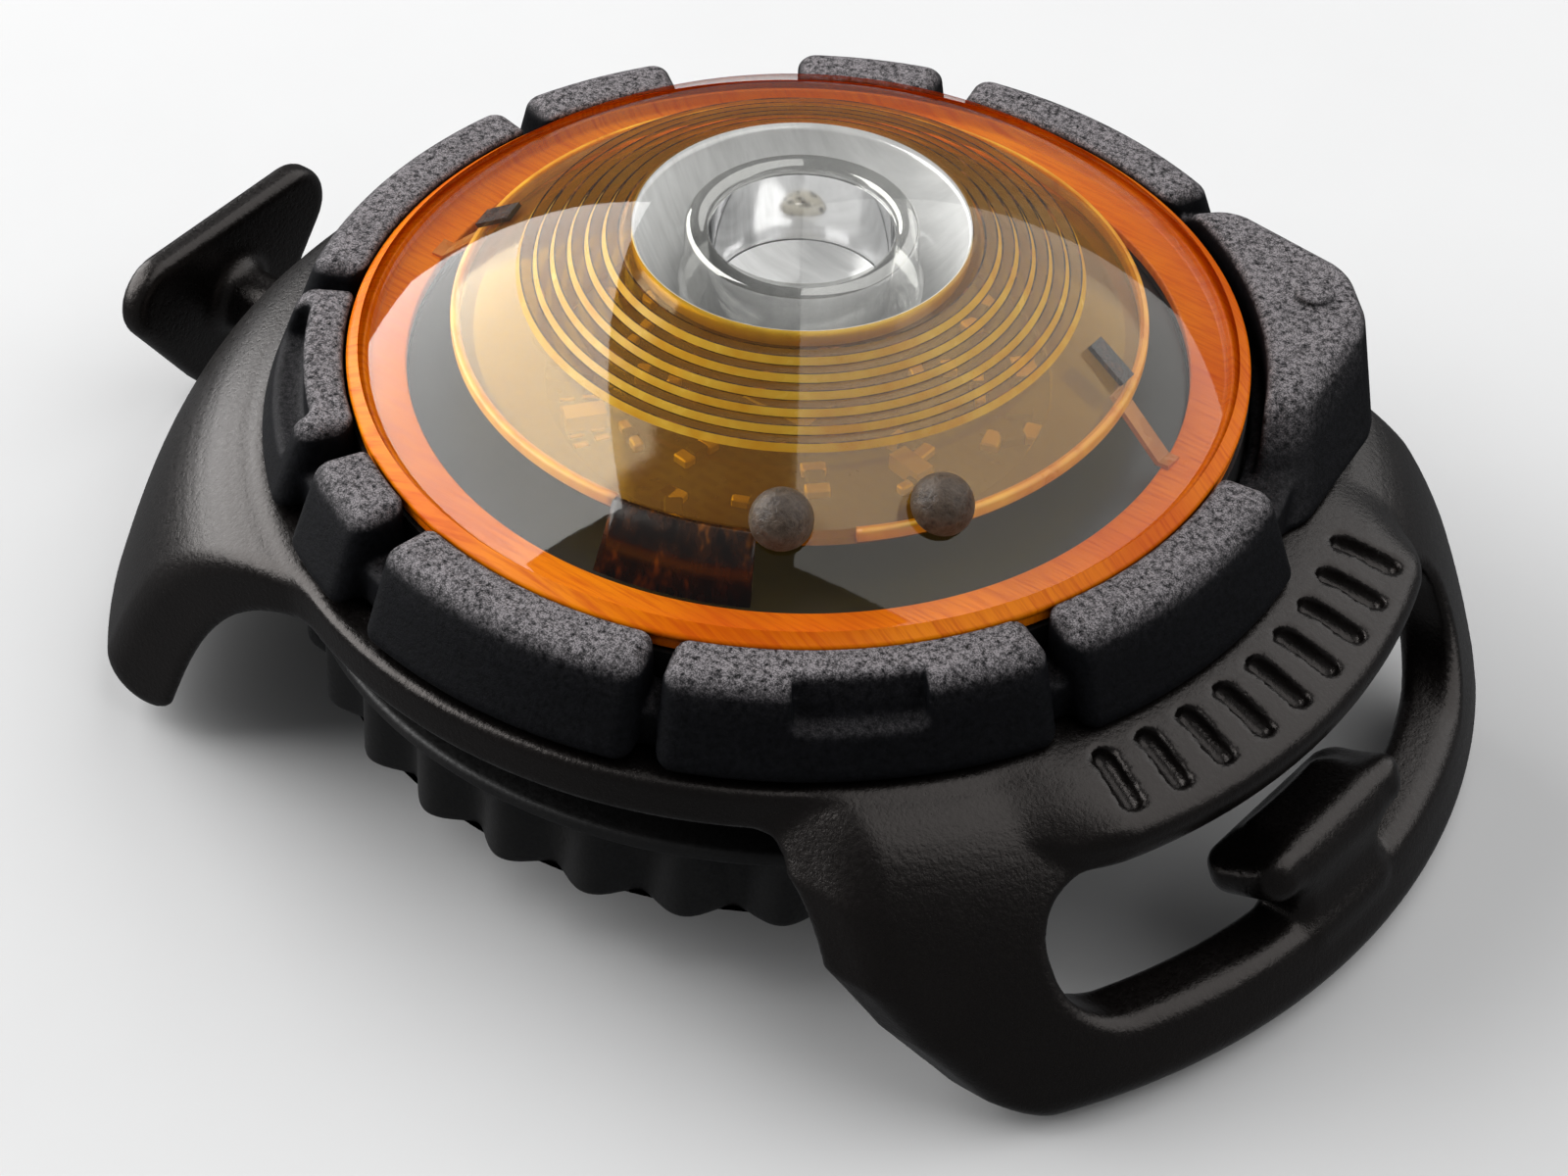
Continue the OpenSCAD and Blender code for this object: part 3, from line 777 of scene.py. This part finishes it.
def groove_field(x, y, z):
    """Short radial grip grooves on the visor."""
    best = np.full(np.broadcast(x, y, z).shape, 1e9)
    for angle in np.linspace(-GROOVE_SPREAD, GROOVE_SPREAD, GROOVE_COUNT):
        c, s = math.cos(math.radians(angle)), math.sin(math.radians(angle))
        along, across = x * c + y * s, -x * s + y * c
        t = np.clip(along, GROOVE_IN, GROOVE_OUT)
        above = z - 8.2 + 0.27 * (t - 21.3)
        best = np.minimum(best, np.sqrt((along - t) ** 2 + across ** 2 + above ** 2) - GROOVE_R)
    return best


def clip_field(x, y, z):
    r = np.hypot(x, y)
    side = np.abs(y)
    ring_half = (RING_R - RING_IN) / 2
    body = rect(r - (RING_IN + RING_R) / 2, z - (PLATE_LOW + PLATE_HIGH) / 2, ring_half, 0.93, 0.35)
    wing = np.where(x < 0, cut_round(skirt(r, z), side - CLIP_HALF, 0.55), 1e3)
    half = np.interp(z, (-4.4, -2.4, 0.2, 2.5, 5.5, 9.0), (13.6, 15.8, 17.3, 18.1, 17.7, 15.6))
    loop = cut_round(loop_skirt(r, z), (side - half) * 0.93, 0.7)
    window = rect(y, z - (BAR_TOP + WINDOW_TOP) / 2, WINDOW_HALF, (WINDOW_TOP - BAR_TOP) / 2, 2.6)
    loop = cut_round(loop, -window, 0.6)
    shelf = cut_round(visor(r, z), side - SHELF_HALF, 2.5)
    loop = join_round(loop, shelf, 1.0)
    loop = join_round(loop, hook_field(x, y, z, r), 0.5)
    loop = np.where(x > 0, loop, 1e3)
    body = join_round(body, np.minimum(wing, loop), 0.35)
    body = join_round(body, stud_field(x, y, z), 0.9)
    return cut_round(body, -groove_field(x, y, z), 0.12)


def build_clip(step):
    low = (-31.4, -20.0 - RING_R * 0.06, BAR_LOW - 0.6)
    high = (28.2, 20.0 + RING_R * 0.06, 8.9)
    return surface_net(clip_field, low, high, step)


clip_step = 0.22
make_piece("clip_moulding", *build_clip(clip_step), ELASTOMER, "clip", "clip_elastomer", ["mount_clip"])


# ---- Bumper -----------------------------------------------------------------------------

BUMPER_IN = 17.4
BLOCK_R = 20.55
WEB_R = 19.45
WEB_TOP = BUMPER_HIGH - 2.2
BLOCK_SLOPE = 0.34
LUG_ANGLE = 48.0
# Blocks as start and end angles around the light
BLOCKS = [
    (-21.5, 14), (71, 106), (110, 128), (144, 163), (166, 204), (207, 235), (239, 252), (256, 291), (293, 336)
]
# The block with a pocket in its inner edge, and the radius at which block sides are measured
POCKETED = (207, 235)
MIDDLE_R = 19
# The recess in the outer edge of one block
RECESS_ANGLE = -45.5


def lug_field(x, y, z):
    """Index lug: a prow that flares towards its foot."""
    a = math.radians(LUG_ANGLE)
    u, v = x * math.cos(a) + y * math.sin(a), np.abs(x * math.sin(a) - y * math.cos(a))
    flare = np.clip((BUMPER_HIGH - z) / (BUMPER_HIGH - BUMPER_LOW), 0, 1)
    prow = 0.617 * (v - 1.7 - 2.6 * flare) + 0.787 * (u - 21.9)
    body = cut_round(prow, u - 22.1, 0.6)
    body = cut_round(body, (v - 5.9 - 3.6 * flare) * 0.8, 0.6)
    body = cut_round(body, z - BUMPER_HIGH + 0.05, 0.55)
    body = cut_round(body, BUMPER_LOW + 0.1 - z, 0.3)
    dot = rect(np.hypot(u - 20.3, v), z - BUMPER_HIGH, 0.75, 0.22, 0.15)
    body = cut_round(body, 15.4 - u, 0.4)
    return join_round(cut_round(body, 17.9 - np.hypot(x, y), 0.4), dot, 0.15)


def bumper_field(x, y, z):
    r = np.hypot(x, y)
    angle = np.degrees(np.arctan2(y, x))
    web = rect(r - (BUMPER_IN + WEB_R) / 2, z - (BUMPER_LOW + WEB_TOP) / 2, (WEB_R - BUMPER_IN) / 2,
               (WEB_TOP - BUMPER_LOW) / 2, 0.35)
    outer = (r - BLOCK_R + BLOCK_SLOPE * (z - BUMPER_LOW - 0.6)) / math.hypot(1, BLOCK_SLOPE)
    top = z - BUMPER_HIGH + 0.1 + 0.06 * (r - BUMPER_IN)
    profile = cut_round(cut_round(outer, top, 0.6), BUMPER_LOW - z, 0.5)
    profile = cut_round(profile, BUMPER_IN - r, 0.3)
    blocks = np.full(np.broadcast(x, y, z).shape, 1e3)
    for start, end in BLOCKS:
        middle, half = math.radians((start + end) / 2), math.radians((end - start) / 2)
        off = np.abs((np.radians(angle) - middle + math.pi) % (2 * math.pi) - math.pi)
        block = cut_round(profile, (off - half) * MIDDLE_R, 0.75)
        if (start, end) == POCKETED:
            pocket = rect(off * MIDDLE_R, z - BUMPER_HIGH, 3.4, 2.1, 0.4)
            block = cut_round(block, -cut_round(pocket, 18.95 - r, 0.3), 0.25)
        blocks = np.minimum(blocks, block)
    neck = (np.abs((angle - 19.5 + 180) % 360 - 180) - 9) * 0.33
    web = cut_round(web, -cut_round(neck, BUMPER_LOW + 1.7 - z, 0.3), 0.3)
    body = join_round(web, blocks, 0.3)
    body = join_round(body, lug_field(x, y, z), 0.35)
    a = math.radians(RECESS_ANGLE)
    side = np.where(x * math.cos(a) + y * math.sin(a) > 0, -x * math.sin(a) + y * math.cos(a), 99.0)
    recess = rect(side, z - BUMPER_HIGH, 2.45, 1.95, 0.35)
    return cut_round(body, -cut_round(recess, -outer - 0.6, 0.25), 0.2)


def build_bumper(step):
    reach = 22.9
    low, high = (-reach, -reach, BUMPER_LOW - 0.5), (reach, reach, BUMPER_HIGH + 0.6)
    return surface_net(bumper_field, low, high, step)


bumper_step = 0.16
make_piece("bumper_moulding", *build_bumper(bumper_step), BUMPER, "upper", "bumper_rubber", ["bumper_ring"])


# ---- Base ---------------------------------------------------------------------------------

RIBS = 32
RIB_PHASE = math.radians(3)
GRIP_TOP = 3.9
RIB_DEPTH = 0.95


def rib_wobble(r, z, a):
    """Scallops on the grip, below its rim."""
    if r < 18.6 or z > GRIP_TOP - 0.6:
        return r
    wave = abs(math.cos(RIBS / 2 * (a - RIB_PHASE)))
    return r - RIB_DEPTH * (1 - wave ** 1.6)


def base_profile():
    outline = [
        (11.05, 0.0), (19.25, 0.0), (19.25, GRIP_TOP - 0.75), (19.4, GRIP_TOP - 0.55), (19.4, GRIP_TOP),
        (17.6, GRIP_TOP + 0.1), (17.6, BASE_TOP), (16.0, BASE_TOP), (16.0, 3.3),
        (16.9, 3.3), (16.9, 1.6), (11.05, 1.6)
    ]
    spacing = 0.9
    dense = []
    for (r0, z0), (r1, z1) in zip(outline, outline[1:] + outline[:1]):
        cuts = max(1, int(math.hypot(r1 - r0, z1 - z0) / spacing))
        dense += [(r0 + (r1 - r0) * k / cuts, z0 + (z1 - z0) * k / cuts) for k in range(cuts)]
    return fillet(dense, 0.28, 3)


BASE_SEGMENTS = 768
ribbed_base = lathe(base_profile(), BASE_SEGMENTS, wobble=rib_wobble)
make_piece("ribbed_base", *ribbed_base, BLACK, "base", "black_plastic", ["base_housing"])


# ---- Dome, diffuser and reflector --------------------------------------------------------------

DOME_WALL = 0.3
WINDOW_R = 6.5
SEGMENTS = 256


def dome_profile():
    """The dome's section, and which of its edges are the rim that stands in the flange."""
    rim_r = 17.3
    outer = arc(0.02, WINDOW_R - 0.08, 0, 16)
    outer += [(WINDOW_R, cap_at(WINDOW_R) + 0.05)]
    outer += arc(WINDOW_R + 0.08, DOME_EDGE_R, 0, 32)
    inner = arc(16.95, 0.02, DOME_WALL, 44)
    rim = [(rim_r, DOME_EDGE_Z - 0.06), (rim_r, DOME_EDGE_Z - 0.32), (17.22, DOME_EDGE_Z - 0.32)]
    return outer + rim + inner, range(len(outer) - 2, len(outer) + len(rim))


dome_outline, dome_rim = dome_profile()
dome = make_piece("clear_dome", *lathe(dome_outline, SEGMENTS), CLEAR, "upper", "clear_plastic",
                  ["dome_lens"])
dome.data.materials.append(FLANGE)
for polygon in dome.data.polygons:
    if polygon.index % len(dome_outline) in dome_rim:
        polygon.material_index = 1

# The diffuser's steps: how many, from and to which radius and height, and the widths of tread and of the line
# painted dark as shade
STEPS = 6
STEP_START, STEP_END = 6.9, 10.8
STEP_HIGH, STEP_LOW = 17.76, 16.03
TREAD, LINE = 0.5, 0.06
DIFFUSER_R = 13.1
DIFFUSER_TOP, DIFFUSER_LOW = 1.15, 1.75


def diffuser_profile():
    """The diffuser's section, and which of its edges are risers, painted gold as glow, and which are the
    lines beside them, painted dark as shade.
    """
    pitch = (STEP_END - STEP_START) / STEPS
    drop = (STEP_HIGH - STEP_LOW) / STEPS
    top = []
    for i in range(STEPS):
        r, z = STEP_START + i * pitch, STEP_HIGH - i * drop
        top += [(r, z), (r + LINE, z), (r + TREAD - LINE, z - 0.01), (r + TREAD, z - 0.01)]
    radii, depths = np.linspace(STEP_END, DIFFUSER_R, 12), np.linspace(0.83, DIFFUSER_TOP, 12)
    smooth = [(r, cap_at(r, depth)) for r, depth in zip(radii, depths)]
    under = arc(DIFFUSER_R, WINDOW_R, DIFFUSER_LOW, 24)
    lip_z = cap_at(WINDOW_R, DOME_WALL + 0.05)
    lip = [(WINDOW_R - 0.02, lip_z), (WINDOW_R + 0.12, lip_z)]
    risers = [4 * i + 3 for i in range(STEPS)]
    lines = [4 * i + k for i in range(STEPS) for k in (0, 2)]
    return top + smooth + under + lip, risers, lines


diffuser_outline, risers, lines = diffuser_profile()
cone = make_piece("amber_cone", *lathe(diffuser_outline, SEGMENTS), AMBER, "upper", "amber_plastic",
                  ["amber_diffuser"])
cone.data.materials.append(AMBER_STEP_PAINTED_GLOW)
cone.data.materials.append(AMBER_PAINTED_SHADE)
for polygon in cone.data.polygons:
    edge = polygon.index % len(diffuser_outline)
    polygon.material_index = 1 if edge in risers else 2 if edge in lines else 0
sharpen(cone, 15)
flange_outline = fillet([
    (15.0, 11.45), (17.2, 11.45), (17.2, 11.94), (17.08, 12.1), (16.6, 12.4), (16.35, 11.96), (15.0, 11.93)
], 0.1, 3)
make_piece("amber_flange", *lathe(flange_outline, SEGMENTS), FLANGE, "upper", "amber_plastic")
EDGE_TOP = cap_at(DIFFUSER_R, DIFFUSER_TOP)
# Angles between which the diffuser's edge with its painted gold glow is missing; the band painted dark as
# shade fills part of this gap
FRONT_CUT = (277, 317)


def sweep(outline, start, end, steps):
    """An outline of (radius, height) turned from one angle to another in degrees, with capped ends."""
    count = len(outline)
    verts = []
    for i in range(steps + 1):
        a = math.radians(start + (end - start) * i / steps)
        verts += [(r * math.cos(a), r * math.sin(a), z) for r, z in outline]
    faces = [tuple(range(count - 1, -1, -1)), tuple(range(steps * count, (steps + 1) * count))]
    for i in range(steps):
        for k in range(count):
            n = (k + 1) % count
            faces.append((i * count + k, i * count + n, (i + 1) * count + n, (i + 1) * count + k))
    return verts, faces


edge_outline = fillet([
    (DIFFUSER_R - 0.15, EDGE_TOP - 0.55), (DIFFUSER_R + 0.2, EDGE_TOP - 0.55),
    (DIFFUSER_R + 0.2, EDGE_TOP - 0.05), (DIFFUSER_R - 0.15, EDGE_TOP)
], 0.1, 3)
amber_edge = sweep(edge_outline, FRONT_CUT[1], FRONT_CUT[0] + 360, 200)
make_piece("amber_edge", *amber_edge, EDGE, "upper", "amber_plastic")

# A small band of amber painted dark as shade, between the diffuser's edge and the flange
SKIRT_OUTLINE = [(13.1, EDGE_TOP - 0.1), (13.35, EDGE_TOP - 0.1), (14.7, 11.75), (14.4, 11.75)]
SKIRT_END = 301
amber_skirt_painted_shade = sweep(SKIRT_OUTLINE, FRONT_CUT[0], SKIRT_END, 24)
make_piece("amber_skirt_painted_shade", *amber_skirt_painted_shade, AMBER_PAINTED_SHADE, "upper", "amber_plastic")


def strip(path, width, thickness):
    """A flat strip through points given as (radius, angle in degrees, height)."""
    points = [Vector((r * math.cos(math.radians(a)), r * math.sin(math.radians(a)), z)) for r, a, z in path]
    verts = []
    for i, point in enumerate(points):
        along = (points[min(i + 1, len(points) - 1)] - points[max(i - 1, 0)]).normalized()
        out = Vector((point.x, point.y, 0)).normalized()
        across = along.cross(Vector((0, 0, 1)) + out).normalized()
        face = across.cross(along).normalized()
        for side, depth in ((-1, -1), (1, -1), (1, 1), (-1, 1)):
            verts.append(point + across * side * width / 2 + face * depth * thickness / 2)
    faces = [(3, 2, 1, 0), tuple(range(len(verts) - 4, len(verts)))]
    for i in range(len(points) - 1):
        for k in range(4):
            n = (k + 1) % 4
            faces.append((i * 4 + k, i * 4 + n, i * 4 + 4 + n, i * 4 + 4 + k))
    return [tuple(v) for v in verts], faces


ARM_TURNS = (0, 180)
ARM_THICKNESS = 0.2
ARM_FOOT = [(12.75, 16.3, 14.2), (13.4, 15.7, 13.5), (14.9, 14.3, 12.02), (15.4, 14.0, 12.0)]
ARM_ROOT = [(11.6, 19.2, 15.75), (13.1, 17.2, 14.68)]
# Each arm's foot is half-clear pale orange; its root is painted dark as shade
for number, turn in enumerate(ARM_TURNS):
    foot, root = ([(r, angle + turn, z) for r, angle, z in path] for path in (ARM_FOOT, ARM_ROOT))
    foot_strip, root_strip = strip(foot, 0.85, ARM_THICKNESS), strip(root, 0.9, ARM_THICKNESS)
    make_piece(f"amber_arm_{number + 1}", *foot_strip, ARM, "upper", "amber_plastic", smooth=False)
    make_piece(f"amber_arm_root_{number + 1}", *root_strip, AMBER_PAINTED_SHADE, "upper", "amber_plastic", smooth=False)

REFLECTOR_LOW = node_box("reflector_cup")[0][2] + 0.25
THROAT, RIM = 1.5, 6.42
RIM_Z = cap_at(RIM, DOME_WALL + 0.1)


def bowl_z(r):
    """Height of the reflector's parabola at radius r."""
    return REFLECTOR_LOW + (RIM_Z - REFLECTOR_LOW) * (r * r - THROAT ** 2) / (RIM ** 2 - THROAT ** 2)


bowl_inner = [(r, bowl_z(r)) for r in np.linspace(THROAT, RIM, 40)]
bowl_outer = [(r + 0.22, bowl_z(r) - 0.25) for r in np.linspace(RIM - 0.2, THROAT, 40)]
bowl_outline = bowl_inner + bowl_outer
bowl = make_piece("reflector_bowl", *lathe(bowl_outline, SEGMENTS), SATIN, "upper", "reflector_chrome",
                  ["reflector_cup"])
bowl.data.materials.append(DECK)
for polygon in bowl.data.polygons:
    if polygon.index % len(bowl_outline) >= len(bowl_inner):
        polygon.material_index = 1

RING_SEGMENTS = 192
RING_OUT, RING_BORE, RING_TOP = 4.45, 3.55, 18.32
WELL_Z = 14.45
CRISP = 25
ring_outline = fillet([
    (2.4, 12.9), (4.15, 14.9), (4.7, 15.2), (4.7, 15.7), (RING_OUT, 15.9), (RING_OUT, RING_TOP),
    (RING_BORE, RING_TOP), (RING_BORE, 14.35), (1.0, 13.6), (1.0, 12.9)
], 0.35, 5)
make_piece("collimator_ring", *lathe(ring_outline, RING_SEGMENTS), LENS, "upper", "clear_plastic",
           ["collimator_lens"])
bore = [(3.3, WELL_Z), (3.42, 16.5), (RING_BORE - 0.07, RING_TOP - 0.4)]
bore += [(r + 0.05, z) for r, z in reversed(bore)]
bore_piece = make_piece("collimator_bore", *lathe(bore, RING_SEGMENTS), CHROME, "upper", "reflector_chrome")
sharpen(bore_piece, CRISP)
well = [(0.82, 0), (2.6, 0.15), (3.28, 0.5), (3.28, -0.1), (0.82, -0.1)]
well = [(r, WELL_Z + z) for r, z in well]
well_piece = make_piece("collimator_well", *lathe(well, RING_SEGMENTS), SATIN, "upper", "reflector_chrome")
sharpen(well_piece, CRISP)
die = [(0.02, 0.34), (0.4, 0.32), (0.7, 0.2), (0.8, 0.0), (0.8, -0.1), (0.02, -0.1)]
make_piece("led_image", *lathe([(r, WELL_Z + z) for r, z in die], 64), LED_DIE, "upper", "led_resin")

# Small parts take turns on three rings, each a fixed angle round from the last
PART_COUNT = 19
PART_RINGS = (5.4, 7.0, 8.6)
PART_TURN = 137.5
PART_Z = BOARD_TOP + 0.03
BAR_ROWS = (8.0, 8.9)
BAR_START, BAR_PITCH, BARS_IN_ROW = 221, 3.6, 6


def board_details():
    """Small parts with gold ends, their bodies, and rows of short gold bars, all on the board."""
    ends, bodies, bars = [], [], []
    for number in range(PART_COUNT):
        r, angle = PART_RINGS[number % len(PART_RINGS)], PART_TURN * number
        turn = (0, 90, 35)[number % 3]
        long = (1.5, 1.1, 1.9)[number % 3]
        wide = (0.8, 0.6)[number % 2]
        spin = Matrix.Rotation(math.radians(turn), 3, "Z")
        for side in (-1, 1):
            end = box_mesh((long * 0.36, wide * 1.2, 0.34), 0.06)
            shift = spin @ Vector((side * long * 0.42, 0, 0))
            ends.append(place(([tuple(Vector(v) + shift) for v in end[0]], end[1]), r, angle, PART_Z))
        bodies.append(place(box_mesh((long * 0.5, wide * 0.9, 0.4), 0.06), r, angle, PART_Z, turn))
    for row, r in enumerate(BAR_ROWS):
        for k in range(BARS_IN_ROW):
            bar = box_mesh((0.55, 0.16 + 0.12 * (k % 2), 0.05), 0.02)
            bars.append(place(bar, r, BAR_START + BAR_PITCH * k + row, PART_Z))
    return join(ends), join(bodies), join(bars)


part_ends, part_bodies, board_bars = board_details()
make_piece("part_ends", *part_ends, GOLD, "upper", "gold_plate", smooth=False)
make_piece("part_bodies", *part_bodies, EPOXY, "upper", "chip_epoxy", smooth=False)
make_piece("board_bars", *board_bars, GOLD, "upper", "gold_plate", smooth=False)

deck_outline = fillet([(9.7, 10.95), (14.95, 11.3), (14.95, 11.05), (9.7, 10.65)], 0.1, 2)
make_piece("inner_deck", *lathe(deck_outline, SEGMENTS), DECK, "upper", "black_plastic")


# ---- Carried-over CAD nodes -----------------------------------------------------------------------

for node, material in {
    "cell_cover": BLACK, "cell_cover_seal": SEAL, "coin_cell": CELL, "cell_tray": GREY, "tray_screws": STEEL,
    "positive_wiper": GOLD, "upper_housing": BLACK, "twist_seal": SEAL, "retaining_ring": STEEL,
    "circuit_board": BOARD, "board_screws": STEEL, "negative_spring": STEEL, "controller_chip": EPOXY,
    "power_inductor": EPOXY, "chip_capacitors": CERAMIC, "chip_resistors": EPOXY, "edge_pads": GOLD,
    "led_emitter": LED, "lens_seal": SEAL, "locator_pips": FROSTED,
}.items():
    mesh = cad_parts[node].data
    mesh.materials.clear()
    mesh.materials.append(material)


# ---- Stage, light and camera ------------------------------------------------------------------------

CAMERA_AZIMUTH = math.radians(-37.04)
CAMERA_ELEVATION = math.radians(40.94)
CAMERA_ROLL = math.radians(-1.51)
CAMERA_DISTANCE = 234.96 * MM
CAMERA_OFFSET = (0.325 * MM, -0.075 * MM)
CAMERA_LENS = 136.1


def camera_axes():
    """Right, up and forward directions of the camera, in the row frame."""
    level = Vector((math.cos(CAMERA_AZIMUTH), -math.sin(CAMERA_AZIMUTH), 0))
    away = Vector((math.sin(CAMERA_AZIMUTH), math.cos(CAMERA_AZIMUTH), 0))
    forward = away * math.cos(CAMERA_ELEVATION) + Vector((0, 0, -math.sin(CAMERA_ELEVATION)))
    upright = away * math.sin(CAMERA_ELEVATION) + Vector((0, 0, math.cos(CAMERA_ELEVATION)))
    right = level * math.cos(CAMERA_ROLL) - upright * math.sin(CAMERA_ROLL)
    up = level * math.sin(CAMERA_ROLL) + upright * math.cos(CAMERA_ROLL)
    return right, up, forward


def add_camera():
    right, up, forward = camera_axes()
    data = bpy.data.cameras.new("camera")
    data.lens = CAMERA_LENS
    data.sensor_width = 36
    data.clip_start, data.clip_end = 0.01, 10
    camera = bpy.data.objects.new("camera", data)
    bpy.context.scene.collection.objects.link(camera)
    turn = Matrix((right, up, -forward)).transposed()
    place_at = -CAMERA_DISTANCE * forward - CAMERA_OFFSET[0] * right - CAMERA_OFFSET[1] * up
    camera.matrix_world = Matrix.Translation(place_at) @ turn.to_4x4()
    bpy.context.scene.camera = camera


# How far the floor lies under the clip's lowest point
FLOOR_DROP = 0.16


def add_floor():
    half = 1.5
    z = (FLOOR_Z - FLOOR_DROP) * MM
    mesh = bpy.data.meshes.new("floor")
    corners = [(-half, -half, z), (half, -half, z), (half, half, z), (-half, half, z)]
    mesh.from_pydata(corners, [], [(0, 1, 2, 3)])
    mesh.materials.append(floor_material())
    floor = bpy.data.objects.new("floor", mesh)
    floor.visible_glossy = False
    bpy.context.scene.collection.objects.link(floor)


def set_world():
    world = bpy.data.worlds.new("studio")
    world.use_nodes = True
    background = world.node_tree.nodes["Background"]
    background.inputs["Color"].default_value = (0.95, 0.97, 1.0, 1)
    background.inputs["Strength"].default_value = 0.12
    bpy.context.scene.world = world


SIDE = Vector((math.cos(CAMERA_AZIMUTH), -math.sin(CAMERA_AZIMUTH), 0))
AWAY = Vector((math.sin(CAMERA_AZIMUTH), math.cos(CAMERA_AZIMUTH), 0))


def add_panel(name, side, elevation, distance, width, near, far, radiance):
    """A soft panel to one side (1 right, -1 left) of the camera's line, tilted to face the part.

    near and far are its ends along that line, in metres from the part, and radiance is its brightness.
    """
    tilt = math.radians(elevation)
    toward = SIDE * (side * math.cos(tilt)) + Vector((0, 0, math.sin(tilt)))
    data = bpy.data.lights.new(name, "AREA")
    data.shape = "RECTANGLE"
    data.size, data.size_y = width, far - near
    data.energy = radiance * math.pi * width * (far - near)
    light = bpy.data.objects.new(name, data)
    bpy.context.scene.collection.objects.link(light)
    across = AWAY.cross(toward)
    light.matrix_world = (
        Matrix.Translation(toward * distance + AWAY * (near + far) / 2)
        @ Matrix((across, AWAY, toward)).transposed().to_4x4()
    )


add_floor()
set_world()
add_camera()
add_panel("right_panel", side=1, elevation=50, distance=0.6, width=1.0, near=-0.42, far=0.95, radiance=1.35)
add_panel("left_panel", side=-1, elevation=30, distance=0.6, width=0.66, near=-0.15, far=1.0, radiance=4.5)
bpy.context.scene.view_settings.view_transform = "Standard"
